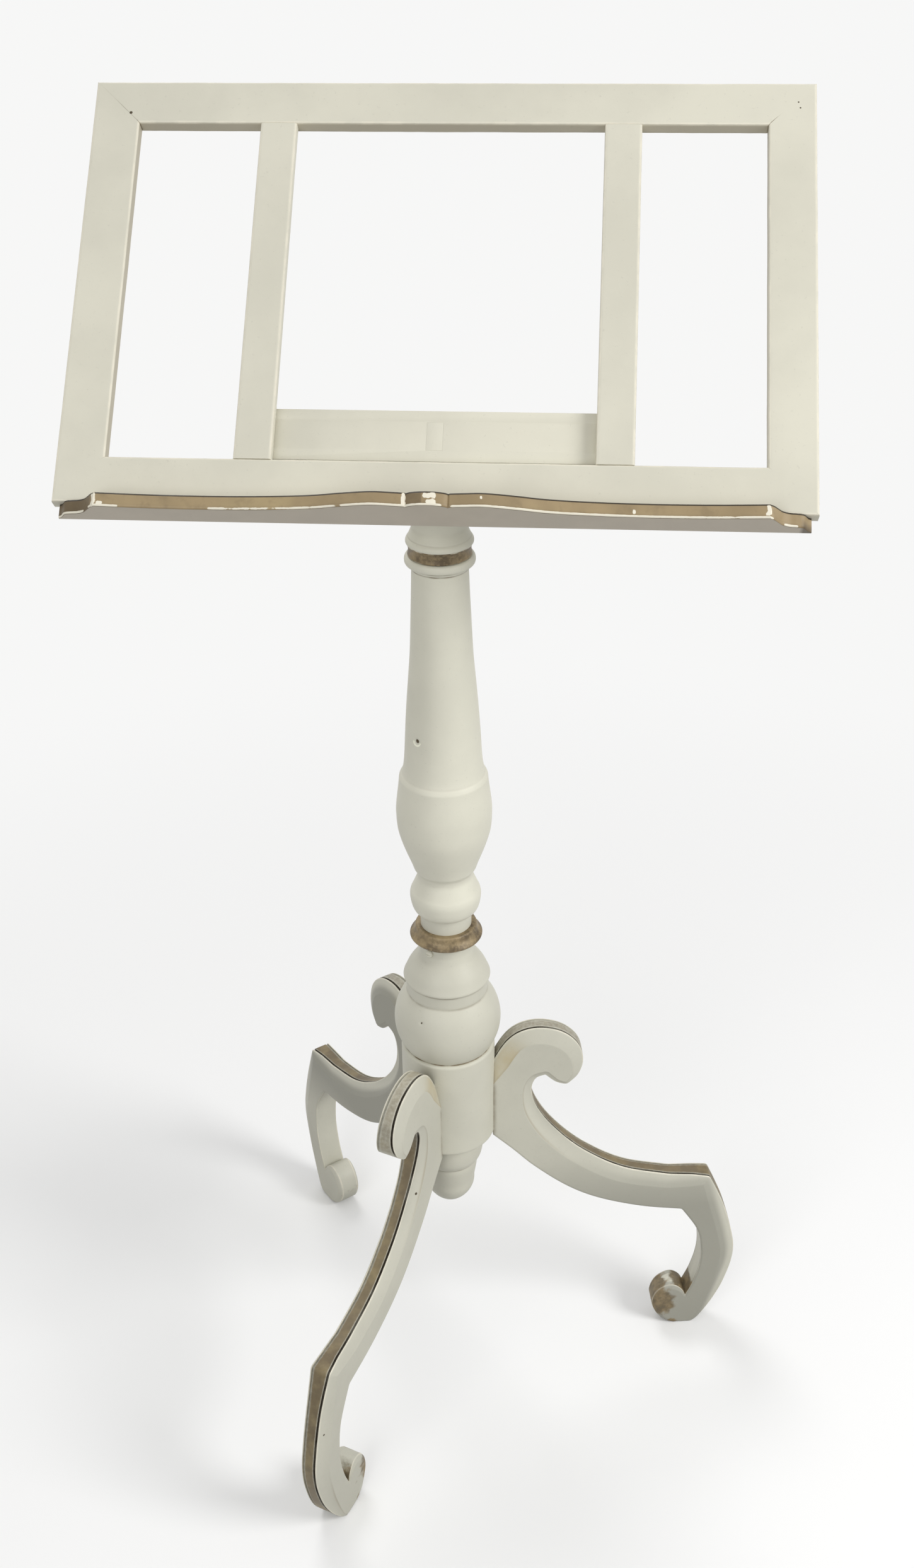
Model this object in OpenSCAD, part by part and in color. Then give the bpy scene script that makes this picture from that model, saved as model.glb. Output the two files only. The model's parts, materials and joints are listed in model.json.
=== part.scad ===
// Easel lectern: an open desk frame with a book ledge, tilting on a forked head, above a turned
// column that lifts and swivels on a hub with three scrolled legs.
// Z is up, the floor is z = 0, the column stands on the Z axis and the desk faces -Y.
// The desk is drawn lying flat, with its front face at z = 0 and its lower edge on the X axis.

/* [Desk] */
// Width of the desk frame
desk_w = 550; // [460:10:640]
// Height of the desk frame, measured along the slope
desk_h = 350; // [300:10:420]
// Slope of the desk above the horizontal, at rest
desk_slope = 44; // [30:1:60]
// Width of the frame members
rail_w = 36; // [28:1:44]
// Thickness of the frame members
frame_t = 12; // [10:0.5:16]
// Radius of the worn edges of the frame
edge_r = 1.5; // [0.5:0.1:2.5]
// Side of the corner keys
key_side = 26; // [18:1:32]
// Thickness of the corner keys
key_t = 3; // [2:0.5:4]
// Radius of the corner brads
brad_r = 1.1; // [0.8:0.1:1.5]

/* [Slats and batten] */
// Distance from the middle of the desk to the inner edge of each slat
slat_inner = 117; // [90:1:150]
// Width of a slat
slat_w = 28; // [20:1:34]
// Thickness of a slat
slat_t = 9; // [7.5:0.5:9.5]
// Length of a slat's tenon
tenon_l = 8; // [5:1:14]
// Thickness of a slat's tenon
tenon_t = 4; // [3:0.5:5]
// Width of the batten behind the slats
batten_w = 40; // [34:1:42]
// Thickness of the batten
batten_t = 16; // [12:1:20]
// Radius of a batten screw's shank
screw_r = 2; // [1.5:0.1:2.5]

/* [Book ledge] */
// Length of the book ledge
ledge_l = 540; // [440:10:560]
// Thickness of the book ledge
ledge_t = 10.5; // [8:0.5:14]
// Distance that the ledge's middle stands out from the frame
ledge_out = 29.5; // [24:0.5:36]
// Distance that the ledge stands out where its wings are narrowest
ledge_waist_out = 15; // [11:0.5:19]
// Distance that the ledge's ends stand out from the frame
ledge_end_out = 3; // [1:0.5:8]
// Depth of the ledge under the frame
ledge_back = 8; // [6:0.5:11]
// Radius of the dowels that hold the ledge
ledge_dowel_r = 2; // [1.5:0.1:2.5]

/* [Tilting head] */
// Height of the tilt axis above the fork's shoulder
tilt_rise = 41; // [34:1:50]
// Distance from the back of the batten to the tilt axis
tilt_reach = 20.6; // [19.6:0.2:26]
// Distance of the tilt axis up the desk from its lower edge
tilt_up = 60; // [58:1:64]
// Width of the tongue
tongue_w = 19.6; // [14:0.1:22]
// Radius of the tongue's round end
tongue_r = 15; // [12:0.5:16]
// Thickness of each fork cheek
cheek_t = 11; // [8:0.5:14]
// Radius of the fork's rounded top
fork_r = 17; // [14:0.5:18]
// Radius of the tilt bolt
bolt_r = 3; // [2.5:0.25:4]
// Height of the turned cup
cup_h = 26; // [22:1:34]
// Radius of the cup's rim
cup_r = 26.5; // [25:0.5:32]
// Height of the gilded swivel ring
ring_h = 9.7; // [7:0.1:14]

/* [Column] */
// Height of the turned shaft
shaft_h = 330.7; // [280:0.1:400]
// Radius of the shaft's belly
belly_r = 40; // [36:0.5:46]
// Radius of the lift pole
pole_r = 14; // [10:0.5:15]
// Length of the lift pole
pole_l = 400; // [340:5:400]
// Length of the pole inside the shaft
pole_in_shaft = 197; // [120:1:200]
// Radius of the swivel pin
pin_r = 6; // [4:0.5:8]
// Length of the swivel pin
pin_l = 68; // [50:1:90]

/* [Hub] */
// Radius of the boss that carries the legs
boss_r = 42; // [38:0.5:46]
// Height of the boss
boss_h = 104; // [98:1:125]
// Radius of the ball above the boss
ball_r = 47.5; // [44:0.5:54]
// Radius of the neck
neck_r = 22; // [20:0.5:24]
// Height of the neck's top above the middle of the ball
neck_rise = 117; // [105:1:140]
// Widest radius of the gilded collar
collar_r = 31.7; // [28:0.1:36]
// Height of the gilded collar
collar_h = 17; // [12:0.5:22]
// Width of the plain neck above the collar
collar_drop = 15; // [10:1:20]
// Direction of the lock screw
lock_dir = -125; // [-170:1:-60]
// Radius of the lock screw
lock_r = 2.5; // [2:0.25:3]
// Height of the drop finial
finial_h = 86; // [70:1:100]
// Radius of the drop finial
finial_r = 31.5; // [26:0.5:36]

/* [Legs] */
// Distance from the column to the farthest point of a leg
leg_reach = 279; // [240:1:330]
// Height of the top of a leg
leg_top = 384; // [350:1:430]
// Thickness of a leg
leg_t = 25; // [20:0.5:32]
// Width of the bevel along a leg's outer edge, where it is widest
bevel_w = 14; // [10:0.5:15]
// Slope of that bevel, in thickness for each unit of width
bevel_slope = 0.39; // [0.2:0.01:0.45]
// Direction of the front leg
leg_dir = -112; // [-120:1:-60]
// Radius of the leg dowels
dowel_r = 4; // [3:0.5:5]
// Length of the leg dowels
dowel_l = 40; // [30:1:48]

/* [Hidden] */
$fn = 96;

// Clearances: between glued pieces, between pieces that turn or slide, and between bodies
glue_gap = 0.05;
run_gap = 0.07;
body_gap = 0.3;
// Extra length that a cutting shape runs past the face that it opens
over = 1;

// Colours of the paint, the gilding and the hardware
paint = [0.83, 0.80, 0.72];
paint_grey = [0.80, 0.79, 0.74];
gilt = [0.63, 0.53, 0.39];
bare_wood = [0.66, 0.52, 0.36];
steel = [0.62, 0.62, 0.64];
brass = [0.74, 0.60, 0.32];

// Depth of the housings that seat the legs in the boss, and the angle from one leg to the next
housing = 2.2;
leg_turn = 120;

// Legs: stretches of [distance from the boss, height, width of the bevel]. The outer scroll,
// the hollow above the thigh, the shin, the rolled foot, and the inner edge back to the boss.
leg_scroll = [[-housing, 348, 14], [10, 370, 14], [24, 381, 14], [42, 384, 14], [62, 378, 14],
    [76, 364, 13], [81, 347, 11], [77, 331, 7], [66, 320, 3]];
leg_lip = [[66, 320, 3], [56, 323, 4], [46, 332, 5]];
leg_hollow = [[46, 332, 5], [37, 327, 7], [34, 312, 9], [40, 290, 12], [57, 263, 14],
    [84, 235, 14], [123, 210, 14], [168, 198, 13]];
leg_knee = [[168, 198, 13], [190, 196.5, 11]];
leg_shin = [[207, 194, 8], [221, 161, 13], [232, 124, 14], [237, 92, 14], [231, 56, 13],
    [219, 26, 9], [205, 5, 3]];
leg_sole = [[205, 5, 3], [199, 0, 1.5], [180, 0, 1.5]];
leg_foot = [[180, 0, 1.5], [169, 5, 1.5], [161, 16, 1.5], [158, 29, 1.5],
    [164, 44, 1.5], [177, 51, 1.5], [187, 45, 1.5], [191, 37, 1.5]];
leg_calf = [[191, 37, 1.5], [198, 56, 1.5], [203, 80, 1.5], [203, 102, 1.5],
    [198, 127, 1.5], [181, 156, 1.5]];
leg_thigh = [[181, 156, 1.5], [141, 163, 1.5], [99, 177, 1.5], [68, 195, 1.5],
    [37, 222, 1.5], [17, 244, 1.5], [-housing, 264, 1.5]];

// The stretches are scaled from the reach, height and bevel that they were drawn with
leg_side = (leg_reach - boss_r)/max([for (p = leg_shin) p.x]);
leg_rise = leg_top/max([for (p = leg_scroll) p.y]);
bevel_scale = bevel_w/max([for (p = leg_scroll) p.z]);
leg_head_z = (leg_scroll[0].y + 6)*leg_rise;

// Heights up the column
// The boss starts a little above the lower end of the legs' inner edges
boss_lift = 4;
boss_lo = leg_thigh[len(leg_thigh) - 1].y*leg_rise + boss_lift;
boss_hi = boss_lo + boss_h;
ball_drop = sqrt(ball_r*ball_r - (boss_r - 3.5)*(boss_r - 3.5));
ball_z = boss_hi + ball_drop;
neck_hi = ball_z + neck_rise;
collar_hi = neck_hi - collar_drop;
collar_lo = collar_hi - collar_h;
lock_z = collar_lo - 5;
shaft_lo = neck_hi + body_gap;
shaft_hi = shaft_lo + shaft_h;
head_lo = shaft_hi + body_gap;
cup_lo = head_lo + ring_h;
cup_hi = cup_lo + cup_h;
tilt_z = cup_hi + tilt_rise;
pole_hi = shaft_lo + pole_in_shaft;
pole_lo = pole_hi - pole_l;
bore_lo = pole_lo - 8;
finial_tenon_r = 9;
finial_tenon_l = min(16, bore_lo - boss_lo - 4);
pole_pin_r = 1;
pole_pin_z = pole_hi - 20;
pole_pin_dir = -129;
pin_lo = shaft_hi - pin_l*0.7;
pin_hi = pin_lo + pin_l;
fork_tenon_r = 11;
fork_tenon_l = cup_hi - pin_hi - 2;
boss_ring_r = 14;

// Sizes of the desk
slot_w = tongue_w + 2*body_gap;
fork_half = slot_w/2 + cheek_t;
slat_lo = rail_w;
slat_hi = desk_h - rail_w;
slat_mid = slat_inner + slat_w/2;
batten_back = -slat_t - batten_t;
batten_l = 2*(slat_inner + slat_w);
tilt_depth = tilt_reach - batten_back;
mortise_gap = 0.1;
screw_rows = [-batten_w/4, batten_w/4];
brad_spots = [[-desk_w/2 + 29, desk_h - 28], [desk_w/2 - 29, desk_h - 28],
    [-desk_w/2 + 17, 25], [desk_w/2 - 17, 25]];
ledge_dowel_spots = [-0.37, -0.13, 0.13, 0.37]*ledge_l;
ledge_dowel_z = -min(ledge_back, frame_t)/2;

// Hardware of the head
nut_gap = 0.2;
washer_t = 1.4;
washer_r = 8;
nut_l = 9;
nut_r = 6;
wing_span = 17;
wing_t = 2.6;
bolt_end = fork_half + washer_t + nut_gap + nut_l + 3;

// One point on a Catmull-Rom curve through b and c, at t from 0 to 1
function curve_at(a, b, c, d, t) =
    0.5*(2*b + (c - a)*t + (2*a - 5*b + 4*c - d)*t*t + (3*b - a - 3*c + d)*t*t*t);

// A smooth run through hand-chosen points, without its last point
function run(p, n) = let(m = len(p) - 1)
    [for (i = [0:m - 1]) for (j = [0:n - 1])
        curve_at(p[max(i - 1, 0)], p[i], p[i + 1], p[min(i + 2, m)], j/n)];

// A smooth run with its last point
function full_run(p, n) = concat(run(p, n), [p[len(p) - 1]]);

// Points of an arc about a centre, from angle a to angle b
function arc(c, r, a, b, n) =
    [for (i = [0:n]) let(t = a + (b - a)*i/n) [c.x + r*cos(t), c.y + r*sin(t)]];

// A turned piece from [radius, height] points, closed along the axis
module turned(p) {
    rotate_extrude() polygon(concat([[0, p[0].y]], p, [[0, p[len(p) - 1].y]]));
}

// A hole or peg along the Z axis, between two heights
module peg(r, lo, hi) {
    translate([0, 0, lo]) cylinder(r = r, h = hi - lo);
}

// A hole or peg that points outwards from the column at a height, between two distances
module spoke(dir, z, r, from, to) {
    rotate([0, 0, dir]) translate([from, 0, z]) rotate([0, 90, 0])
        cylinder(r = r, h = to - from);
}

// A hole or peg along the tilt axis, between two places across the desk
module axle(r, from, to) {
    translate([from, 0, tilt_z]) rotate([0, 90, 0]) cylinder(r = r, h = to - from);
}

// Puts flat desk pieces on the tilt axis at the desk's slope
module on_desk() {
    translate([0, 0, tilt_z]) rotate([desk_slope, 0, 0])
        translate([0, -tilt_up, tilt_depth]) children();
}

leg_steps = 3;
leg_raw = concat(run(leg_scroll, leg_steps), run(leg_lip, 2), run(leg_hollow, leg_steps),
    leg_knee, run(leg_shin, leg_steps), run(leg_sole, 1), run(leg_foot, 3), run(leg_calf, 2),
    full_run(leg_thigh, 3));
leg_rim = [for (p = leg_raw) [boss_r + p.x*leg_side, p.y*leg_rise]];
leg_bevel = [for (p = leg_raw) p.z*bevel_scale];

function unit(v) = v/norm(v);
// The inward direction across the edge from a to b, for an outline that runs clockwise
function inward(a, b) = let(d = unit(b - a)) [d.y, -d.x];

// The outline drawn in by the bevel's width, along the bisector at each point, and straight
// down or up at the two ends that meet the boss
leg_inset = [for (i = [0:len(leg_rim) - 1]) let(
        n = len(leg_rim),
        before = inward(leg_rim[(i + n - 1)%n], leg_rim[i]),
        after = inward(leg_rim[i], leg_rim[(i + 1)%n]),
        mid = i == 0 ? [0, -1] : i == n - 1 ? [0, 1] : unit(before + after),
        edge = i == n - 1 ? before : after,
        reach = leg_bevel[i]/max(mid*edge, 0.6))
    leg_rim[i] + mid*reach];

// Twice the area of a triangle, above 0 where its corners run anticlockwise
function turn(a, b, c) = (b.x - a.x)*(c.y - a.y) - (b.y - a.y)*(c.x - a.x);

// True where corner k of the outline q, a list of places in p, can be cut off as a triangle
function is_ear(p, q, k) = let(
        n = len(q), i = q[(k + n - 1)%n], j = q[k], m = q[(k + 1)%n], a = p[i], b = p[j], c = p[m])
    turn(a, b, c) < 0 && len([for (o = q) if (o != i && o != j && o != m
        && turn(a, b, p[o]) <= 0 && turn(b, c, p[o]) <= 0 && turn(c, a, p[o]) <= 0) o]) == 0;
function next_ear(p, q, k) = is_ear(p, q, k%len(q)) ? k%len(q) : next_ear(p, q, k + 1);

// Triangles that fill a clockwise outline, cut off one corner at a time
function fill(p, q, k = 0, done = []) = len(q) == 3 ? concat(done, [q]) :
    let(n = len(q), e = next_ear(p, q, k))
    fill(p, [for (i = [0:n - 1]) if (i != e) q[i]], e + 1,
        concat(done, [[q[(e + n - 1)%n], q[e], q[(e + 1)%n]]]));

// One leg as a plank with a bevel of changing width along its rim
module leg_plank() {
    n = len(leg_rim);
    low = [for (p = leg_inset) [p.x, p.y, -leg_t/2]];
    low_rim = [for (i = [0:n - 1]) [leg_rim[i].x, leg_rim[i].y,
        -leg_t/2 + leg_bevel[i]*bevel_slope]];
    high_rim = [for (p = low_rim) [p.x, p.y, -p.z]];
    high = [for (p = low) [p.x, p.y, -p.z]];
    sides = [for (k = [0:2]) for (i = [0:n - 1]) let(j = (i + 1)%n)
        [[k*n + i, k*n + j, (k + 1)*n + j], [k*n + i, (k + 1)*n + j, (k + 1)*n + i]]];
    caps = [for (t = fill(leg_inset, [for (i = [0:n - 1]) i]))
        each [[t[2], t[1], t[0]], [for (i = t) 3*n + i]]];
    polyhedron(points = concat(low, low_rim, high_rim, high),
        faces = concat(caps, [for (s = sides) s[1]], [for (s = sides) s[0]]));
}

// Heights of the two dowels of a leg, above the foot of the boss
dowel_rows = [17, 67];
leg_dowel_z = [for (row = dowel_rows) boss_lo + row];

// The leg along the X axis, with its square inner end in a shallow housing in the boss
module straight_leg() {
    difference() {
        rotate([90, 0, 0]) leg_plank();
        for (z = leg_dowel_z)
            spoke(0, z, dowel_r + glue_gap, boss_r - dowel_l/2, boss_r + dowel_l/2 + over);
    }
}

module leg(dir) {
    rotate([0, 0, dir]) straight_leg();
}

// The three housings, a glue gap wider than the legs
module leg_housings() {
    for (k = [0:2]) rotate([0, 0, leg_dir + leg_turn*k])
        translate([boss_r - housing - glue_gap, -leg_t/2 - glue_gap, boss_lo - over])
            cube([leg_t, leg_t + 2*glue_gap, leg_head_z - boss_lo + over]);
}

module leg_dowel_holes() {
    for (k = [0:2]) for (z = leg_dowel_z)
        spoke(leg_dir + leg_turn*k, z, dowel_r + glue_gap,
            boss_r - dowel_l/2 - over, boss_r + dowel_l/2 + over);
}

module front_leg() { color(paint_grey) leg(leg_dir); }
module right_leg() { color(paint_grey) leg(leg_dir + leg_turn); }
module back_leg() { color(paint_grey) leg(leg_dir + 2*leg_turn); }

module leg_dowels() {
    color(bare_wood) for (k = [0:2]) for (z = leg_dowel_z)
        spoke(leg_dir + leg_turn*k, z, dowel_r, boss_r - dowel_l/2, boss_r + dowel_l/2);
}

// Hub: boss, ball, a shallow band, a rounded lip and the neck
band_r = 36;
lip_r = 38.5;
hub_ball = [for (a = [-asin(ball_drop/ball_r):6:42]) [ball_r*cos(a), ball_z + ball_r*sin(a)]];
hub_lip = full_run([[band_r, ball_z + 45], [lip_r, ball_z + 46.5], [36.8, ball_z + 51],
    [33.8, ball_z + 58], [29, ball_z + 65], [24.5, ball_z + 70], [neck_r, ball_z + 77]], 5);

module hub() {
    color(paint_grey) difference() {
        turned(concat([[boss_r - 1.5, boss_lo], [boss_r, boss_lo + 1.5],
            [boss_r, boss_hi - 1.5], [boss_r - 1.5, boss_hi]], hub_ball,
            [[band_r, ball_z + 33]], hub_lip, [[neck_r, neck_hi]]));
        peg(pole_r + run_gap, bore_lo, neck_hi + over);
        peg(finial_tenon_r + glue_gap, boss_lo - over, boss_lo + finial_tenon_l + body_gap);
        spoke(lock_dir, lock_z, lock_r + 2.5 + glue_gap, 0, neck_r + over);
        leg_housings();
        leg_dowel_holes();
    }
}

// Gilded collar: a sharp disc between two beads, glued round the neck
module collar_ring() {
    color(gilt) difference() {
        turned([[neck_r + 1.5, collar_lo], [neck_r + 3, collar_lo + 1],
            [neck_r + 5.5, collar_lo + 3.2], [collar_r - 0.8, collar_lo + 5.2],
            [collar_r, collar_lo + 6], [collar_r - 0.4, collar_lo + 7.2],
            [neck_r + 7, collar_lo + 9.5], [neck_r + 5.5, collar_lo + 12],
            [neck_r + 4.6, collar_hi - 1.2], [neck_r + 3.4, collar_hi]]);
        peg(neck_r + glue_gap, collar_lo - over, collar_hi + over);
        spoke(lock_dir, lock_z, lock_r + 3, neck_r - over, collar_r + over);
    }
}

// Drop finial under the boss: drum, bead line and a rounded drop
module drop_finial() {
    k = finial_r/31.5;
    h = finial_h/86;
    drum = run([[finial_r - 0.8, boss_lo - glue_gap], [finial_r, boss_lo - 4*h],
        [31.3*k, boss_lo - 16*h], [30*k, boss_lo - 27*h], [27.4*k, boss_lo - 33*h]], 4);
    bulb = run([[25*k, boss_lo - 34.5*h], [25.6*k, boss_lo - 40*h], [24.2*k, boss_lo - 50*h],
        [23*k, boss_lo - 58*h]], 4);
    tip = full_run([[23*k, boss_lo - 58*h], [22.6*k, boss_lo - 66*h], [19.5*k, boss_lo - 74*h],
        [13*k, boss_lo - 82*h], [6*k, boss_lo - 85.4*h], [0.5, boss_lo - finial_h]], 4);
    color(paint_grey) turned(concat([[finial_tenon_r, boss_lo + finial_tenon_l],
        [finial_tenon_r, boss_lo - glue_gap]], drum, bulb, tip));
}

// Lock: a brass bush in the neck and the round-headed screw that presses on the pole
module lock_bush() {
    color(brass) difference() {
        spoke(lock_dir, lock_z, lock_r + 2.5, pole_r + 1, neck_r - 1.2);
        spoke(lock_dir, lock_z, lock_r + run_gap, pole_r, neck_r + over);
    }
}

module lock_screw() {
    head_in = neck_r + body_gap;
    color(steel) difference() {
        union() {
            spoke(lock_dir, lock_z, lock_r, pole_r + body_gap, head_in + 0.5);
            rotate([0, 0, lock_dir]) translate([head_in, 0, lock_z]) rotate([0, 90, 0])
                turned([[lock_r + 0.5, 0], [lock_r + 0.9, 0.6], [lock_r + 0.8, 1.6],
                    [lock_r, 2.6], [lock_r - 1.2, 3.1]]);
        }
        rotate([0, 0, lock_dir]) translate([head_in + 2.7, 0, lock_z])
            cube([1.8, 12, 0.8], center = true);
    }
}

// Column: bell, waist, belly, taper, groove and torus, drawn for a shaft 330.7 high
module column_shaft() {
    k = belly_r/40;
    h = shaft_h/330.7;
    shape = concat(
        run([[26, 0], [28, 3], [29.6, 8], [30.5, 15], [29.8, 19.5], [28.2, 23]], 4),
        run([[28.2, 23], [26.2, 28], [23.8, 35], [24.4, 40], [26.6, 43.5]], 4),
        run([[26.6, 43.5], [29, 51], [33.2, 62.5], [36.9, 74], [39.2, 84], [40, 95],
            [40, 104], [38.8, 115], [37.4, 126], [36.8, 133]], 4),
        run([[36.8, 133], [35, 135], [33.4, 138], [32, 150], [30.7, 174], [29.2, 198],
            [27.2, 222], [25.2, 248], [23.8, 280], [22.8, 305], [22.3, 320.5]], 4),
        [[22.3, 321.5], [26.2, 322.2], [26.2, 323.4]],
        full_run([[26.2, 323.4], [27.4, 324.6], [27.8, 327], [27.3, 329.4], [26, 330.7]], 3));
    color(paint_grey) difference() {
        turned([for (p = shape) [p.x*k, shaft_lo + p.y*h]]);
        peg(pole_r + glue_gap, shaft_lo - over, pole_hi + body_gap);
        peg(pin_r + glue_gap, pin_lo, shaft_hi + over);
        spoke(pole_pin_dir, pole_pin_z, pole_pin_r + glue_gap, 0, belly_r + over);
    }
}

module lift_pole() {
    color(bare_wood) difference() {
        turned([[pole_r - 1.5, pole_lo], [pole_r, pole_lo + 1.5], [pole_r, pole_hi]]);
        spoke(pole_pin_dir, pole_pin_z, pole_pin_r + glue_gap, 0, pole_r + over);
    }
}

// Brad that fixes the pole in the shaft, sunk under the paint
module pole_pin() {
    color(steel) spoke(pole_pin_dir, pole_pin_z, pole_pin_r, 4, 26*belly_r/40);
}

module swivel_pin() {
    color(steel) peg(pin_r, pin_lo, pin_hi);
}

// Gilded cove that turns with the head on top of the torus
module swivel_ring() {
    color(gilt) difference() {
        turned(full_run([[25.2, head_lo], [24.9, head_lo + 1.5], [24.4, head_lo + ring_h*0.45],
            [24.9, head_lo + ring_h*0.8], [26, cup_lo]], 3));
        peg(boss_ring_r + glue_gap, head_lo - over, cup_lo + over);
    }
}

module head_cup() {
    neck = cup_r - 4.5;
    color(paint_grey) difference() {
        turned(concat([[boss_ring_r, head_lo], [boss_ring_r, cup_lo]],
            full_run([[cup_r - 0.4, cup_lo], [cup_r, cup_lo + 1.2], [cup_r - 0.5, cup_lo + 2.6],
                [cup_r - 1.7, cup_lo + 5], [cup_r - 2.2, cup_lo + 6.5], [neck, cup_lo + 12],
                [neck, cup_hi - 10], [neck + 1.4, cup_hi - 4], [neck + 2.5, cup_hi]], 4)));
        peg(pin_r + run_gap, head_lo - over, pin_hi + 0.5);
        peg(fork_tenon_r + glue_gap, cup_hi - fork_tenon_l - body_gap, cup_hi + over);
    }
}

// Fork: a block with rounded cheeks, slotted for the tongue
module tilt_fork() {
    block_h = tilt_z - cup_hi;
    color(paint_grey) difference() {
        union() {
            intersection() {
                union() {
                    translate([-fork_half, -fork_r, cup_hi]) cube([2*fork_half, 2*fork_r, block_h]);
                    axle(fork_r, -fork_half, fork_half);
                }
                peg(fork_half + 3.5, cup_hi, tilt_z + fork_r + over);
            }
            peg(fork_tenon_r, cup_hi - fork_tenon_l, cup_hi + over);
        }
        translate([-slot_w/2, -fork_r - over, tilt_z - tongue_r - 1.5])
            cube([slot_w, 2*fork_r + 2*over, tongue_r + fork_r + 3]);
        axle(bolt_r + glue_gap, -fork_half - over, fork_half + over);
    }
}

// Bolt along the tilt axis, with a domed head on the left cheek
module tilt_bolt() {
    color(steel) {
        axle(bolt_r, -fork_half - 1, bolt_end);
        translate([-fork_half - body_gap/3, 0, tilt_z]) rotate([0, -90, 0])
            turned([[2.4*bolt_r, 0], [2.4*bolt_r, 0.8], [1.9*bolt_r, 2.6], [bolt_r, 3.8],
                [0.4*bolt_r, 4.1]]);
    }
}

module bolt_washer() {
    color(steel) difference() {
        axle(washer_r, fork_half + glue_gap, fork_half + washer_t);
        axle(bolt_r + glue_gap, fork_half - over, fork_half + washer_t + over);
    }
}

// Wing nut: a tapered boss with two wings that lean outwards
module wing_nut() {
    start = fork_half + washer_t + nut_gap;
    wing = full_run([[0.6, nut_r - 2], [1.4, nut_r + 3], [4, wing_span - 3.5],
        [7, wing_span - 0.3], [10.5, wing_span], [12.2, wing_span - 3], [10.6, nut_r + 3],
        [nut_l - 0.6, nut_r - 2.2]], 4);
    color(brass) difference() {
        translate([start, 0, tilt_z]) rotate([0, 90, 0]) union() {
            turned([[nut_r, 0], [nut_r, 1.5], [nut_r - 1, nut_l]]);
            for (side = [0, 180]) rotate([90, 0, side]) translate([0, 0, -wing_t/2])
                linear_extrude(wing_t) polygon([for (p = wing) [p.y, p.x]]);
        }
        axle(bolt_r + run_gap, start - over, start + nut_l + 5);
    }
}

// Tongue: a block behind the batten with a round end on the tilt axis and a through tenon
tongue_tenon_w = 12;
tongue_tenon_h = 22;

module tilt_tongue() {
    color(paint) difference() {
        union() {
            on_desk() {
                translate([-tongue_w/2, tilt_up - tongue_r, -tilt_depth])
                    cube([tongue_w, 2*tongue_r, tilt_reach]);
                translate([-tongue_tenon_w/2, tilt_up - tongue_tenon_h/2, batten_back - over])
                    cube([tongue_tenon_w, tongue_tenon_h, batten_t + over]);
            }
            axle(tongue_r, -tongue_w/2, tongue_w/2);
        }
        axle(bolt_r + run_gap, -tongue_w, tongue_w);
    }
}

module cross_batten() {
    color(paint) on_desk() difference() {
        translate([-batten_l/2, tilt_up - batten_w/2, batten_back])
            cube([batten_l, batten_w, batten_t]);
        translate([-tongue_tenon_w/2 - glue_gap, tilt_up - tongue_tenon_h/2 - glue_gap,
            batten_back - over])
            cube([tongue_tenon_w + 2*glue_gap, tongue_tenon_h + 2*glue_gap, batten_t + 2*over]);
        batten_screw_shapes(glue_gap);
    }
}

// The batten's four countersunk screws, or their holes when a gap is given
module batten_screw_shapes(gap) {
    tip = -slat_t + 6;
    for (side = [-1, 1]) for (row = screw_rows)
        translate([side*slat_mid, tilt_up + row, 0]) {
            translate([0, 0, batten_back]) cylinder(r = screw_r + gap, h = tip - batten_back + gap);
            translate([0, 0, batten_back - (gap > 0 ? over : 0)])
                cylinder(r = 1.8*screw_r + gap, h = 2 + (gap > 0 ? over : 0) + gap);
        }
}

module batten_screws() {
    color(steel) on_desk() batten_screw_shapes(0);
}

// Outline of a bar w wide and t deep, below z = 0, with worn edges
function bar(w, t) = let(r = edge_r) concat(
    arc([w - r, -r], r, 90, 0, 4), arc([w - r, r - t], r, 0, -90, 4),
    arc([r, r - t], r, -90, -180, 4), arc([r, -r], r, 180, 90, 4));

// A bar that runs across the desk from height y, or up the desk from place x
module cross_bar(w, t, l, y) {
    translate([0, y, 0]) rotate([90, 0, 90])
        linear_extrude(l, center = true) polygon(bar(w, t));
}

module up_bar(w, t, lo, hi, x) {
    translate([x, hi, 0]) rotate([90, 0, 0]) linear_extrude(hi - lo) polygon(bar(w, t));
}

// Mortises for the slats, and the keys and brads at the corners
module slat_tenon(gap) {
    for (side = [-1, 1])
        translate([side*slat_mid - slat_w/2 + 4 - gap, slat_lo - tenon_l - gap,
            -slat_t/2 - tenon_t/2 - gap])
            cube([slat_w - 8 + 2*gap, slat_hi - slat_lo + 2*tenon_l + 2*gap, tenon_t + 2*gap]);
}

module key_shapes(gap) {
    for (side = [-1, 1]) for (top = [0, 1])
        translate([side*desk_w/2, top*desk_h, -frame_t/2 - key_t/2 - gap])
            linear_extrude(key_t + 2*gap) polygon([[0, 0], [-side*(key_side + gap), 0],
                [0, (top > 0 ? -1 : 1)*(key_side + gap)]]);
}

module brad_shapes(gap) {
    for (p = brad_spots) translate([p.x, p.y, -frame_t + 2 - gap])
        cylinder(r = brad_r + gap, h = frame_t - 3 + (gap > 0 ? 2 + gap : 0));
}

// A frame member: a bar cut to the mitred outline, with its joints taken out
module framed(outline) {
    color(paint) on_desk() difference() {
        intersection() {
            children();
            translate([0, 0, -frame_t - over]) linear_extrude(frame_t + 2*over) polygon(outline);
        }
        slat_tenon(mortise_gap);
        key_shapes(glue_gap);
        brad_shapes(glue_gap);
        ledge_dowel_shapes(glue_gap);
    }
}

module top_rail() {
    framed([[-desk_w/2, desk_h], [desk_w/2, desk_h], [desk_w/2 - rail_w, desk_h - rail_w],
        [-desk_w/2 + rail_w, desk_h - rail_w]])
        cross_bar(rail_w, frame_t, desk_w, desk_h - rail_w);
}

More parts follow.
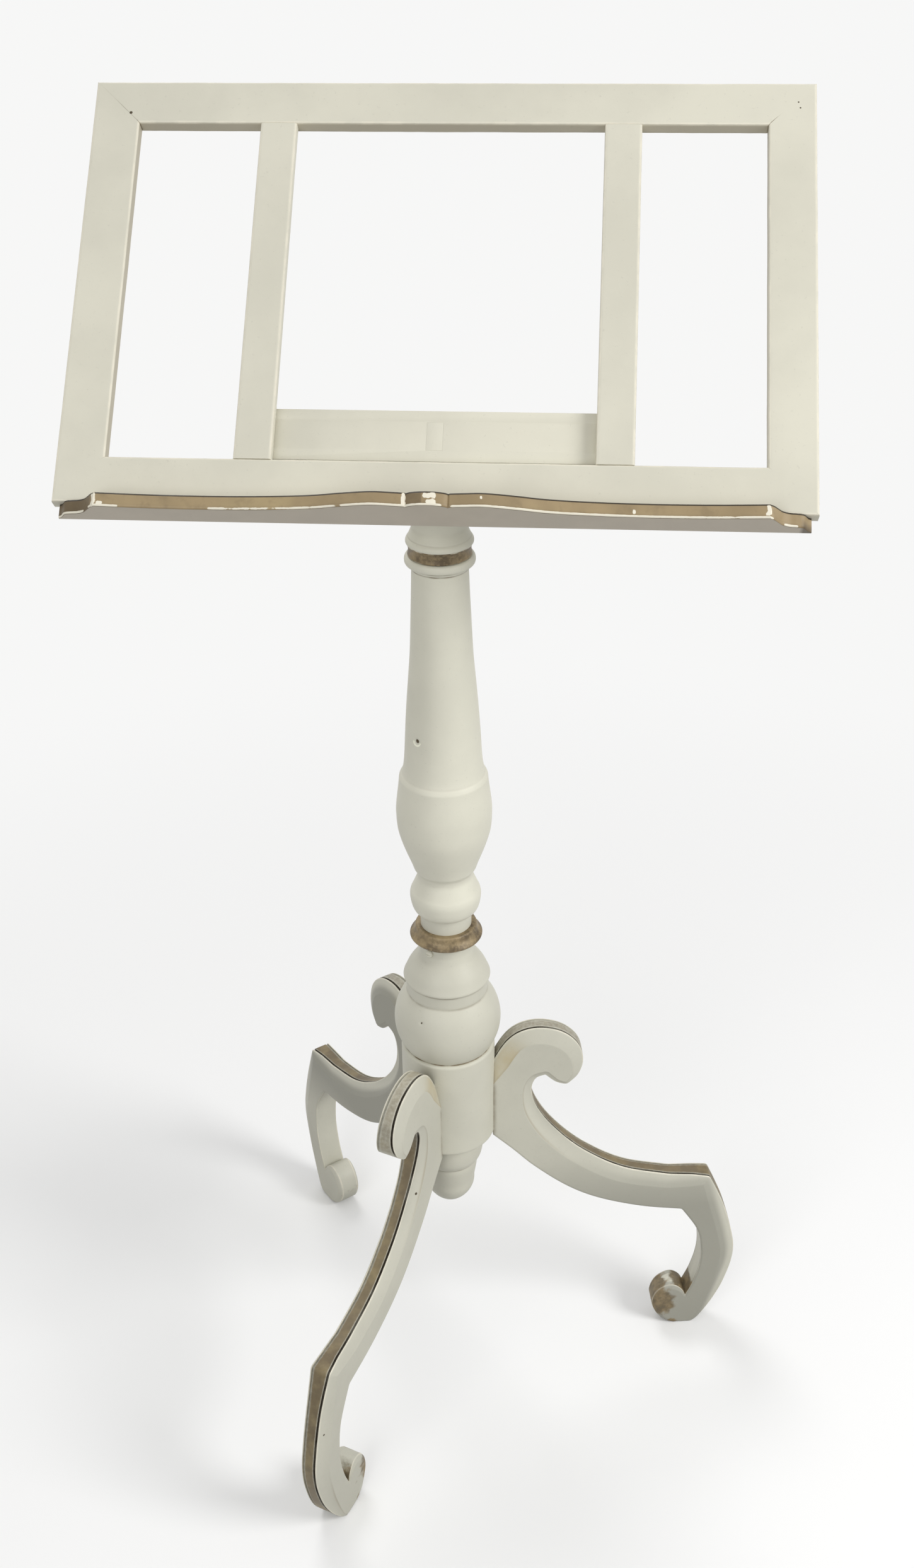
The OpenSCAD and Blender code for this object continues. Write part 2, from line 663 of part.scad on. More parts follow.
module bottom_rail() {
    framed([[-desk_w/2, 0], [-desk_w/2 + rail_w, rail_w], [desk_w/2 - rail_w, rail_w],
        [desk_w/2, 0]])
        cross_bar(rail_w, frame_t, desk_w, 0);
}

module stile(side) {
    outer = side*desk_w/2;
    inner = side*(desk_w/2 - rail_w);
    framed([[outer, 0], [outer, desk_h], [inner, desk_h - rail_w], [inner, rail_w]])
        up_bar(rail_w, frame_t, 0, desk_h, min(outer, inner));
}

module left_stile() { stile(-1); }
module right_stile() { stile(1); }

module slat(side) {
    color(paint) on_desk() difference() {
        union() {
            up_bar(slat_w, slat_t, slat_lo, slat_hi, side*slat_mid - slat_w/2);
            intersection() {
                slat_tenon(0);
                translate([side > 0 ? 0 : -desk_w/2, 0, -frame_t]) cube([desk_w/2, desk_h, frame_t]);
            }
        }
        batten_screw_shapes(glue_gap);
    }
}

module left_slat() { slat(-1); }
module right_slat() { slat(1); }

module corner_keys() {
    color(bare_wood) on_desk() key_shapes(0);
}

module corner_brads() {
    color(steel) on_desk() brad_shapes(0);
}

// Book ledge: half of its front edge, from the middle lobe along the swelling wing to a step, and
// round the end to the back. The wing is given in shares of its length and of its swell.
lobe_half = 16;
step_x = ledge_l/2 - 31;
wing_swell = ledge_out - ledge_waist_out;
step_out = ledge_waist_out + 0.2*wing_swell;
ledge_lobe = [[0, ledge_out], [6, ledge_out - 0.4], [12, ledge_out - 1.9],
    [lobe_half - 1, ledge_out - 4]];
ledge_wing = [for (p = [[0, 0.79], [0.05, 0.87], [0.11, 0.92], [0.2, 0.68], [0.3, 0.34],
    [0.42, 0.14], [0.55, 0.03], [0.7, 0], [0.85, 0.06], [1, 0.2]])
    [lobe_half + p.x*(step_x - lobe_half), ledge_waist_out + p.y*wing_swell]];
ledge_end = concat([for (p = [[0.4, 0.95], [3, 0.82], [6.5, 0.5], [10, 0.22], [15, 0.05],
    [20, 0]]) [step_x + p.x, ledge_end_out + p.y*(step_out - ledge_end_out)]],
    [[ledge_l/2 - 6, ledge_end_out - 1.5], [ledge_l/2 - 2.5, 4 - ledge_back],
        [ledge_l/2, 2 - ledge_back]]);
ledge_half = concat(full_run(ledge_lobe, 4), full_run(ledge_wing, 4), full_run(ledge_end, 3));

module book_ledge() {
    n = len(ledge_half);
    left = [for (i = [n - 1:-1:1]) [-ledge_half[i].x, ledge_half[i].y]];
    color(gilt) on_desk() difference() {
        rotate([90, 0, 0]) linear_extrude(ledge_t)
            polygon(concat([[-ledge_l/2, -ledge_back]], left, ledge_half,
                [[ledge_l/2, -ledge_back]]));
        ledge_dowel_shapes(glue_gap);
    }
}

module ledge_dowel_shapes(gap) {
    for (x = ledge_dowel_spots)
        translate([x, 14 + gap, ledge_dowel_z]) rotate([90, 0, 0])
            cylinder(r = ledge_dowel_r + gap, h = 14 + ledge_t - 2.5 + 2*gap);
}

module ledge_dowels() {
    color(bare_wood) on_desk() ledge_dowel_shapes(0);
}

hub();
collar_ring();
front_leg();
right_leg();
back_leg();
leg_dowels();
drop_finial();
lock_bush();
lock_screw();
column_shaft();
lift_pole();
pole_pin();
swivel_pin();
swivel_ring();
head_cup();
tilt_fork();
tilt_bolt();
bolt_washer();
wing_nut();
tilt_tongue();
cross_batten();
batten_screws();
left_slat();
right_slat();
left_stile();
right_stile();
top_rail();
bottom_rail();
corner_keys();
corner_brads();
book_ledge();
ledge_dowels();
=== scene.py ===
"""Looks of the easel lectern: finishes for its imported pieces, and finer surfaces for those that
show."""

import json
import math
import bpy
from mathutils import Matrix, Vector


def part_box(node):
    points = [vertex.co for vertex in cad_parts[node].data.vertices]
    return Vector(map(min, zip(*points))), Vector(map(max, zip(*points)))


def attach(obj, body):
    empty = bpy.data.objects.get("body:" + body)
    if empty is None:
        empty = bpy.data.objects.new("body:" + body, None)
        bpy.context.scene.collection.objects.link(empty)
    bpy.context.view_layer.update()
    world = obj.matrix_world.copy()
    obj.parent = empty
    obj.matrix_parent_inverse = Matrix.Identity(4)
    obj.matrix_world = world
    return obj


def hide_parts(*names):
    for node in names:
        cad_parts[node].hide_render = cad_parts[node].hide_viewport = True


bl_info = {
    "name": "Easel Lectern",
    "version": (1, 0, 0),
    "blender": (4, 5, 0),
    "location": "View3D > Sidebar > Lectern",
    "description": "Painted and gilded easel lectern on a turned column with scrolled legs",
    "category": "Object",
}

import bmesh
import bpy
import numpy as np
from bpy.props import FloatProperty, FloatVectorProperty, IntProperty, PointerProperty
from mathutils import Matrix
from mathutils.geometry import delaunay_2d_cdt

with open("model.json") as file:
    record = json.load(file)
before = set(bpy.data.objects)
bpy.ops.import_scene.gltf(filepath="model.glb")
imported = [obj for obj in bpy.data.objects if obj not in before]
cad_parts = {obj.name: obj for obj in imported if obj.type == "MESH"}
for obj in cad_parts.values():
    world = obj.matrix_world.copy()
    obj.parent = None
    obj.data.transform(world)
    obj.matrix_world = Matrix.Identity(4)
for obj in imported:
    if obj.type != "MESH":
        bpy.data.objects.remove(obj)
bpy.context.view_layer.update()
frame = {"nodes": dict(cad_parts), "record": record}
MM, MICRON = 1e-3, 1e-6

# Materials by name
FINISHES = {}


def srgb(red, green, blue):
    """Linear colour of display values from 0 to 255: the power curve of the display, undone."""
    v = np.array([red, green, blue]) / 255
    linear = np.where(v <= 0.04045, v / 12.92, ((v + 0.055) / 1.055) ** 2.4)
    return tuple(float(x) for x in linear)


def colour_property(name, about, *display):
    """A colour given by its display values from 0 to 255."""
    return FloatVectorProperty(
        name=name, description=about, subtype="COLOR", size=3, min=0, max=1,
        default=srgb(*display),
    )


def length_property(name, about, value, high=2.0):
    return FloatProperty(
        name=name, description=about, subtype="DISTANCE", unit="LENGTH", min=0, max=high,
        default=value,
    )


def angle_property(name, about, degrees):
    return FloatProperty(
        name=name, description=about, subtype="ANGLE", unit="ROTATION", min=-math.pi,
        max=math.pi, default=math.radians(degrees),
    )


class LecternFinish(bpy.types.PropertyGroup):
    """Colours of the paints, the gilding and the hardware."""

    cream: colour_property("Cream", "Paint of the desk", 214, 211, 195)
    grey: colour_property("Grey cream", "Paint of the column and legs", 207, 205, 190)
    # This brown also colours painted shade: the shade mark, and the crease of the legs' feet
    glaze_and_shade: colour_property("Glaze", "Brown glaze left in the hollows", 112, 96, 68)
    chalk: colour_property("Chalk", "Pale ground that shows where paint has worn", 232, 226, 208)
    olive: colour_property("Rim", "Olive brown of the legs' sawn edges", 126, 113, 88)
    amber: colour_property("Amber", "Warm stain at the roots of the scrolls", 190, 172, 128)
    gilt: colour_property("Gilding", "Dull gold of the rings", 150, 132, 98)
    # This brown also colours the ledge's painted shade and its painted shadow line
    gilt_dark: colour_property("Old gilding", "Brown in the gilding's hollows", 88, 74, 52)
    beige: colour_property("Ledge", "Faded gold of the ledge", 155, 136, 103)
    ground: colour_property("Ground", "Grey ground under the ledge", 198, 189, 174)
    wood: colour_property("Wood", "Bare beech of the hidden pieces", 186, 150, 108)
    wood_dark: colour_property("Grain", "Darker grain of the bare wood", 140, 102, 66)
    steel: colour_property("Steel", "Bolt, pins and screws", 150, 150, 152)
    brass: colour_property("Brass", "Wing nut and bush", 176, 144, 84)


class LecternWear(bpy.types.PropertyGroup):
    """Softness of the edges, and fineness of the turned pieces."""

    arris: length_property("Arris", "Radius of the worn edges of the frame", 1.5 * MM, 0.01)
    eased: length_property("Easing", "Width of the eased edges of the hardware", 0.5 * MM, 0.01)
    segments: IntProperty(
        name="Segments", description="Facets round a turned piece", default=160, min=24, max=512
    )


class LecternDesk(bpy.types.PropertyGroup):
    """Size of the desk's frame, and where it lies on the tilt axis."""

    slope: angle_property("Slope", "Slope of the desk above the horizontal", 44)
    tilt_up: length_property("Axis height", "Tilt axis, up the desk from its lower edge", 60 * MM)
    tilt_depth: length_property("Axis depth", "Tilt axis, behind the desk's face", 45.6 * MM)
    width: length_property("Width", "Width of the desk frame", 550 * MM)
    height: length_property("Height", "Height of the desk frame along the slope", 350 * MM)
    rail: length_property("Rail", "Width of the frame members", 36 * MM)
    thickness: length_property("Thickness", "Thickness of the frame members", 12 * MM)


class LecternView(bpy.types.PropertyGroup):
    """The photograph's viewpoint."""

    place: FloatVectorProperty(
        name="Place", description="Camera position", subtype="XYZ", unit="LENGTH", size=3,
        default=(0.11299, -1.26485, 1.40871),
    )
    yaw: angle_property("Yaw", "Turn of the view to the left", 4.61)
    pitch: angle_property("Pitch", "Downward tilt of the view", 31.17)
    roll: angle_property("Roll", "Turn of the view about its own line", -0.72)
    focal: FloatProperty(
        name="Focal length", description="For a frame 36 mm high", default=41.16, min=10, max=200
    )


def values(group):
    return getattr(bpy.context.scene, group)


def curve(points, steps):
    """Catmull-Rom curve through the points: each span is a cubic whose end slopes are half the step
    between the neighbours, sampled at equal parameters."""
    p = np.array(points, float)
    padded = np.vstack([p[:1], p, p[-1:]])
    a, b, c, d = (padded[i:len(padded) - 3 + i, None, :] for i in range(4))
    t = (np.arange(steps) / steps)[None, :, None]
    spans = 0.5 * (
        2 * b + (c - a) * t + (2 * a - 5 * b + 4 * c - d) * t**2 + (3 * b - a - 3 * c + d) * t**3
    )
    return np.vstack([spans.reshape(-1, p.shape[1]), p[-1:]])


def resample(points, step, loop=False):
    """The polyline's points again, at equal distances along it."""
    p = np.array(points, float)
    if loop:
        p = np.vstack([p, p[:1]])
    run = np.r_[0, np.cumsum(np.linalg.norm(np.diff(p, axis=0), axis=1))]
    count = max(int(round(run[-1] / step)), 8)
    at = np.linspace(0, run[-1], count + 1)
    out = np.stack([np.interp(at, run, p[:, k]) for k in range(p.shape[1])], axis=1)
    return out[:-1] if loop else out


def blur(points, passes):
    """Each pass moves a point halfway to the middle of its neighbours. The ends stay."""
    p = np.array(points, float)
    for _ in range(passes):
        p[1:-1] = 0.5 * p[1:-1] + 0.25 * (p[:-2] + p[2:])
    return p


def turning(points, reach, loop=False):
    """Angle in radians by which a plane outline turns left at each point, between chords that span
    the given number of points on either side."""
    p = np.array(points, float)[:, :2]
    n = np.arange(len(p))
    past_end = "wrap" if loop else "clip"
    before, after = (np.take(p, n + k, axis=0, mode=past_end) for k in (-reach, reach))
    a, b = p - before, after - p
    return np.arctan2(a[:, 0] * b[:, 1] - a[:, 1] * b[:, 0], (a * b).sum(1) + 1e-15)


def envelope(x, low, high, soft):
    """1 from low to high, falling to 0 over the soft distance outside."""
    return np.clip(np.minimum(x - low, high - x) / soft + 1, 0, 1)


def ripple(place, scale, seed):
    """Smooth noise from -1 to 1: a mean of six sine waves whose directions and phases come from a
    seeded generator."""
    r = np.random.default_rng(seed)
    direction = r.normal(size=(6, 3))
    direction /= np.linalg.norm(direction, axis=1)[:, None]
    rate = 2 * np.pi / scale * r.uniform(0.6, 1.6, 6)
    phase = r.uniform(0, 2 * np.pi, 6)
    return np.sin(place @ (direction * rate[:, None]).T + phase).mean(axis=-1)


def add_piece(name, mesh, angle, finish, body, node):
    """Shades a mesh smooth up to the angle in degrees, and makes it an object that rides on the
    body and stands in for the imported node."""
    mesh.shade_smooth()
    mesh.set_sharp_from_angle(angle=math.radians(angle))
    mesh.materials.append(FINISHES[finish])
    piece = bpy.data.objects.new(name, mesh)
    bpy.context.scene.collection.objects.link(piece)
    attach(piece, body)
    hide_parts(node)


def mesh_piece(name, vertices, faces, marks, angle, finish, body, node):
    """A piece from arrays in metres: its place is in its mesh, marks become point attributes, and
    doubles are merged."""
    mesh = bpy.data.meshes.new(name)
    mesh.from_pydata(vertices.reshape(-1, 3).tolist(), [], faces)
    for mark, level in marks.items():
        level = np.clip(np.broadcast_to(level, vertices.shape[:-1]), 0, 1)
        mesh.attributes.new(mark, "FLOAT", "POINT").data.foreach_set(
            "value", level.astype(np.float32).ravel()
        )
    work = bmesh.new()
    work.from_mesh(mesh)
    bmesh.ops.remove_doubles(work, verts=work.verts, dist=2 * MICRON)
    bmesh.ops.recalc_face_normals(work, faces=work.faces)
    work.to_mesh(mesh)
    work.free()
    add_piece(name, mesh, angle, finish, body, node)


def ring_faces(rows, columns):
    """Quads between neighbouring rings of points, numbered ring by ring."""
    i = np.arange(rows - 1)[:, None] * columns
    j = np.arange(columns)
    k = (j + 1) % columns
    quads = np.stack([i + j, i + k, i + columns + k, i + columns + j], axis=-1)
    return quads.reshape(-1, 4).tolist()


def turned_piece(name, profile, finish, body, node, step=0.8, passes=3, dents=(),
                 dirt=0.5):
    """Surface of revolution: x = r cos a, y = r sin a, z = z, for a profile of (r, z) in mm that
    runs from the bottom up the outside, with points a step apart and softened by passes of blur.
    Straight stretches keep every fourth row. Convex bends are marked worn and hollow bends grimy.
    Dents, given as (direction, z, size, depth), are bell-shaped, and deep ones have a bare ring
    below them."""
    straight, full_worn, full_grimy = 0.02, 0.9, 0.7
    p = blur(resample(profile, step), passes)
    bend = turning(p, 3)
    row = np.arange(len(p))
    keep = (np.abs(bend) > straight) | (row % 4 == 0) | (row == len(p) - 1)
    for _, z, size, _ in dents:
        keep |= np.abs(p[:, 1] - z) < 4 * size
    p, bend = p[keep], bend[keep, None]
    a = np.linspace(0, 2 * np.pi, values("lectern_wear").segments, endpoint=False)
    radius = np.broadcast_to(p[:, :1], (len(p), len(a)))
    height = np.broadcast_to(p[:, 1:], radius.shape)
    place = np.stack([radius * np.cos(a), radius * np.sin(a), height], axis=-1)
    outward = np.stack([np.cos(a), np.sin(a), np.zeros_like(a)], axis=-1)
    near_axis, wobble, wobble_length = 2, 0.12, 45
    shift = wobble * ripple(place, wobble_length, len(name)) * (radius > near_axis)
    pit, ring = np.zeros_like(radius), np.zeros_like(radius)
    for direction, z, size, depth in dents:
        turn = np.angle(np.exp(1j * (a - math.radians(direction))))
        away = np.hypot(radius * turn, height - z) / size
        dip = np.exp(-(away**2)) * (radius > 5)
        shift -= depth * dip
        pit = np.maximum(pit, dip)
        if depth > 1:
            ring = np.maximum(ring, np.exp(-((away - 1.5) ** 2) * 6) * (height < z))
    place += outward * shift[..., None]
    marks = {"worn": 0.4 * (bend / full_worn), "bare": ring, "grime": -dirt * bend / full_grimy,
             "chip": pit}
    mesh_piece(name, place * MM, ring_faces(len(p), len(a)), marks, 50, finish, body, node)


def round_section(corners, radius):
    """Outline through plane corners, each cut by a quadratic curve between the points a radius away
    on either side."""
    p = np.array(corners, float)
    before, after = np.roll(p, 1, axis=0) - p, np.roll(p, -1, axis=0) - p
    a = p + before / np.linalg.norm(before, axis=1)[:, None] * radius
    b = p + after / np.linalg.norm(after, axis=1)[:, None] * radius
    t = np.linspace(0, 1, 6)[None, :, None]
    arcs = (1 - t) ** 2 * a[:, None] + 2 * t * (1 - t) * p[:, None] + t**2 * b[:, None]
    return arcs.reshape(-1, 2)


def on_desk(points):
    """From the flat desk, with its face at z = 0 and its lower edge on the X axis, to its place:
    moved to the tilt axis and turned about it by the slope. Millimetres in, metres out."""
    desk = values("lectern_desk")
    low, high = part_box("tilt_bolt")
    c, s = math.cos(desk.slope), math.sin(desk.slope)
    y = points[..., 1] * MM - desk.tilt_up
    z = points[..., 2] * MM + desk.tilt_depth
    axis_z = (low.z + high.z) / 2
    return np.stack([points[..., 0] * MM, y * c - z * s, axis_z + y * s + z * c], axis=-1)


def desk_piece(name, rings, marks, finish, node):
    """A closed solid from rings of points on the flat desk: neighbours are joined by quads and both
    ends capped."""
    rows, columns = rings.shape[:2]
    faces = ring_faces(rows, columns)
    faces += [list(range(end, end + columns)) for end in (0, (rows - 1) * columns)]
    mesh_piece(name, on_desk(rings), faces, marks, 35, finish, "desk", node)


class Finish:
    """A material's node tree, with short calls for the nodes that it uses."""

    def __init__(self, name):
        self.material = FINISHES[name] = bpy.data.materials.new(name)
        self.material.use_nodes = True
        self.tree = self.material.node_tree
        self.shader = self.tree.nodes["Principled BSDF"]
        self.place = self.add("ShaderNodeTexCoord").outputs["Object"]

    def add(self, kind, **settings):
        node = self.tree.nodes.new(kind)
        for key, value in settings.items():
            setattr(node, key, value)
        return node

    def link(self, source, socket):
        self.tree.links.new(source, socket)

    def feed(self, value, socket):
        """Links a node's output to the socket, or writes a number or colour into it."""
        if isinstance(value, bpy.types.NodeSocket):
            self.link(value, socket)
        else:
            socket.default_value = (*value, 1) if isinstance(value, tuple) else value

    def noise(self, scale, detail, stretch=None):
        node = self.add("ShaderNodeTexNoise")
        node.inputs["Scale"].default_value = scale
        node.inputs["Detail"].default_value = detail
        node.inputs["Roughness"].default_value = 0.55
        source = self.place
        if stretch:
            mapping = self.add("ShaderNodeMapping")
            mapping.inputs["Scale"].default_value = stretch
            self.link(source, mapping.inputs["Vector"])
            source = mapping.outputs["Vector"]
        self.link(source, node.inputs["Vector"])
        return node.outputs["Fac"]

    def span(self, source, low, high, start=0.0, end=1.0):
        """Maps low..high of the source to start..end, smoothly and held at the ends."""
        node = self.add("ShaderNodeMapRange", interpolation_type="SMOOTHSTEP")
        for socket, value in zip(node.inputs[1:5], (low, high, start, end)):
            socket.default_value = value
        self.link(source, node.inputs[0])
        return node.outputs[0]

    def combine(self, kind, a, b):
        node = self.add("ShaderNodeMath", operation=kind)
        for socket, value in zip(node.inputs, (a, b)):
            self.feed(value, socket)
        return node.outputs[0]

    def times(self, a, b):
        return self.combine("MULTIPLY", a, b)

    def mark(self, name):
        return self.add("ShaderNodeAttribute", attribute_name=name).outputs["Fac"]

    def ragged(self, name, scale, detail, strength):
        """A mark with noise of the given strength added, to break up its edge."""
        return self.combine("ADD", self.mark(name), self.times(self.noise(scale, detail), strength))

    def dot(self, centre, radius):
        """1 near a point given in metres, and 0 farther from it than the radius."""
        node = self.add("ShaderNodeVectorMath", operation="DISTANCE")
        self.link(self.place, node.inputs[0])
        node.inputs[1].default_value = centre
        return self.span(node.outputs["Value"], radius * 0.6, radius, 1, 0)

    def mix(self, share, a, b):
        node = self.add("ShaderNodeMix", data_type="RGBA")
        colours = [s for s in node.inputs if s.type == "RGBA"]
        for socket, value in zip((node.inputs[0], *colours), (share, a, b)):
            self.feed(value, socket)
        return next(s for s in node.outputs if s.type == "RGBA")

    def surface(self, tone, roughness, grain, depth, strength):
        """The colour, the roughness and a fine relief of the given depth in metres."""
        self.colour(tone)
        self.set("Roughness", roughness)
        node = self.add("ShaderNodeBump")
        node.inputs["Distance"].default_value = depth
        node.inputs["Strength"].default_value = strength
        self.link(grain, node.inputs["Height"])
        self.link(node.outputs["Normal"], self.shader.inputs["Normal"])

    def colour(self, source):
        self.link(source, self.shader.inputs["Base Color"])

    def set(self, name, value):
        self.shader.inputs[name].default_value = value


def shade(colour, factor):
    return tuple(min(1.0, c * factor) for c in colour)


def tint(name, factor=1.0):
    """A colour of the panel, paler or darker by the factor."""
    return shade(getattr(values("lectern_finish"), name), factor)


def painted(name, colour, edged=False, pits=()):
    """Old hand-brushed paint: cloudy, darker in its hollows, with painted shade where the shade
    mark is set, paler on worn arrises, with dark pits given as (point, radius). Edged paint also
    has an olive rim with a dark line, painted shade, a brown patina and an amber stain where these
    are marked."""
    f = Finish(name)
    clouds = f.span(f.noise(9, 5), 0.3, 0.7)
    tone = f.mix(clouds, shade(colour, 0.94), shade(colour, 1.05))
    specks = f.span(f.noise(420, 2), 0.66, 0.74, 0, 0.35)
    tone = f.mix(specks, tone, shade(colour, 0.8))
    patches = f.span(f.noise(70, 4), 0.35, 0.65, 0.35, 1)
    # Painted shade where the shade mark is set: the corner of a leg's cove and the inner faces of
    # the desk's bars
    tone = f.mix(f.times(f.mark("shade"), 0.4), tone, tint("glaze_and_shade", 1.5))
    if edged:
        tone = edged_tone(f, tone)
    grime = f.times(f.span(f.mark("grime"), 0.05, 1), patches)
    tone = f.mix(grime, tone, tint("glaze_and_shade"))
    worn = f.times(f.span(f.mark("worn"), 0.25, 1, 0, 0.8), patches)
    tone = f.mix(worn, tone, tint("chalk"))
    tone = f.mix(f.span(f.mark("bare"), 0.4, 0.9), tone, tint("chalk", 1.3))
    tone = f.mix(f.span(f.mark("chip"), 0.45, 0.75), tone, tint("glaze_and_shade", 0.5))
    for centre, size in pits:
        tone = f.mix(f.dot(centre, size), tone, tint("glaze_and_shade", 0.4))
    brushing = f.combine("ADD", f.noise(160, 3), f.times(f.noise(30, 3), 2.0))
    f.surface(tone, 0.5, brushing, 0.0003, 0.25)
    f.set("Specular IOR Level", 0.35)


def edged_tone(f, tone):
    """Over the paint of a leg: painted shade in dark grey where it is marked, the olive rim,
    browner in places, its dark groove, the amber stain at the scroll's root and the ragged brown
    patina of the foot, with painted shade in the crease between the roll and the calf."""
    # Painted shade: where marked, the flat sides are mixed toward a dark grey
    tone = f.mix(f.times(f.mark("dusk"), 0.85), tone, tint("grey", 0.5))
    rim = f.mix(f.span(f.noise(14, 4), 0.35, 0.65), tint("olive", 0.95), tint("glaze_and_shade", 0.8))
    rim = f.mix(f.span(f.noise(120, 4), 0.3, 0.7, 0, 0.5), rim, tint("olive", 0.6))
    rim = f.mix(f.span(f.noise(42, 5), 0.42, 0.66, 0, 0.55), rim, tint("amber", 0.6))
    tone = f.mix(f.span(f.ragged("edge", 330, 3, 0.5), 0.25, 1.2), tone, rim)
    strength = f.span(f.noise(40, 4), 0.3, 0.6, 0.75, 1)
    groove = f.times(f.span(f.ragged("groove", 260, 3, 0.6), 0.4, 1.3), strength)
    tone = f.mix(groove, tone, tint("olive", 0.16))
    amber = f.times(f.mark("amber"), f.span(f.noise(55, 4), 0.25, 0.7, 0.1, 0.6))
    tone = f.mix(amber, tone, tint("amber"))
    brown = f.mix(f.span(f.noise(130, 3), 0.35, 0.65), tint("glaze_and_shade", 0.8), tint("glaze_and_shade", 1.6))
    # The foot's ragged brown patina, which also holds painted shade in the crease
    return f.mix(f.span(f.ragged("patina", 100, 3, 1.1), 0.9, 1.2, 0, 0.9), tone, brown)


def gilded(name):
    """Dull bronze-gold over a brown ground, with cream showing through on the edges."""
    f = Finish(name)
    tone = f.mix(f.span(f.noise(60, 5), 0.35, 0.68), tint("gilt_dark"), tint("gilt"))
    tone = f.mix(f.span(f.noise(350, 3), 0.4, 0.75, 0, 0.5), tone, tint("gilt", 1.25))
    tone = f.mix(f.span(f.mark("grime"), 0.1, 1, 0, 0.9), tone, tint("gilt_dark", 0.5))
    patches = f.span(f.noise(90, 4), 0.42, 0.6)
    worn = f.times(f.span(f.mark("worn"), 0.3, 0.9), patches)
    f.surface(f.mix(worn, tone, tint("chalk")), 0.48, f.noise(200, 3), 0.0003, 0.3)
    f.set("Metallic", 0.15)


def faded_gold(name):
    """The ledge's smooth beige gold with faint warm clouds: a grey ground below, brown lines along
    the arrises, painted shade on its ends and a painted shadow line along its top arris, and bare
    cream where the marks say so."""
    f = Finish(name)
    tone = f.mix(f.span(f.noise(26, 4), 0.35, 0.65), tint("beige", 0.9), tint("beige", 1.08))
    tone = f.mix(f.span(f.noise(18, 3), 0.5, 0.7, 0, 0.3), tone, tint("amber"))
    tone = f.mix(f.span(f.noise(110, 5), 0.5, 0.72, 0, 0.5), tone, tint("beige", 0.7))
    # Painted shade where marked: the ledge's ends and a spot left of the middle
    tone = f.mix(f.times(f.mark("dull"), 0.8), tone, tint("gilt_dark"))
    under = f.mix(f.span(f.noise(40, 4), 0.3, 0.7), tint("ground", 0.95), tint("ground"))
    tone = f.mix(f.mark("under"), tone, under)
    tone = f.mix(f.times(f.mark("grime"), 0.8), tone, tint("gilt_dark", 0.8))
    tone = f.mix(f.span(f.ragged("bare", 260, 3, 0.9), 0.84, 0.98), tone, tint("chalk", 1.04))
    # Painted shadow: a dark line along the ledge's top front arris
    tone = f.mix(f.mark("line"), tone, tint("gilt_dark", 0.25))
    f.surface(tone, 0.5, f.noise(200, 3), 0.0002, 0.3)
    f.set("Specular IOR Level", 0.4)


def wooden(name):
    """Plain beech: long streaks along the piece and fine pores."""
    f = Finish(name)
    streaks = f.span(f.noise(60, 5, stretch=(1, 1, 0.08)), 0.35, 0.65)
    tone = f.mix(streaks, tint("wood_dark"), tint("wood"))
    pores = f.span(f.noise(900, 2, stretch=(1, 1, 0.15)), 0.62, 0.7, 0, 0.5)
    tone = f.mix(pores, tone, tint("wood_dark", 0.7))
    f.surface(tone, 0.6, f.noise(300, 3, stretch=(1, 1, 0.1)), 0.0002, 0.3)


def metal(name, roughness):
    """Turned metal in the panel's colour of its name, a little dull and stained."""
    f = Finish(name)
    tone = f.mix(f.span(f.noise(120, 4), 0.35, 0.7), tint(name, 0.75), tint(name))
    f.surface(tone, roughness, f.noise(900, 2), 0.0001, 0.2)
    f.set("Metallic", 1.0)


# Nail holes in the desk's face: place to the right of its middle and up from its lower edge, and
# radius, in millimetres
NAIL_HOLES = ((-246.2, 322.6, 1.5), (261.1, 333.5, 0.8), (262.5, 328.6, 0.8))
# Pits in the front leg's paint: point in metres and radius in millimetres
LEG_PITS = (((-0.0237, -0.0851, 0.2615), 1.6), ((-0.0905, -0.2495, 0.1351), 1.2))


class LecternFinishes(bpy.types.Operator):
    """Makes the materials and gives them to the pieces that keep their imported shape."""

    bl_idname = "lectern.finishes"
    bl_label = "Finishes"

    def execute(self, context):
        holes = np.array(NAIL_HOLES)
        centres = on_desk(holes * [1, 1, 0]).tolist()
        painted("cream_paint", tint("cream"), pits=list(zip(centres, holes[:, 2] * MM)))
        painted("grey_paint", tint("grey"))
        # Lit and shaded copies of the grey paint: the column's copy is lighter as painted light,
        # the legs' copy darker as painted shade
        painted("column_paint", tint("grey", 1.17))
        painted("leg_paint", tint("grey", 0.94), edged=True,
                pits=[(point, size * MM) for point, size in LEG_PITS])
        gilded("gilding")
        faded_gold("faded_gold")
        wooden("bare_wood")
        metal("steel", 0.38)
        metal("brass", 0.35)
        for row in frame["record"]["subparts"]:
            piece = frame["nodes"][row["node"]]
            piece.data.materials.clear()
            piece.data.materials.append(FINISHES[row["material_slot"]])
        return {"FINISHED"}


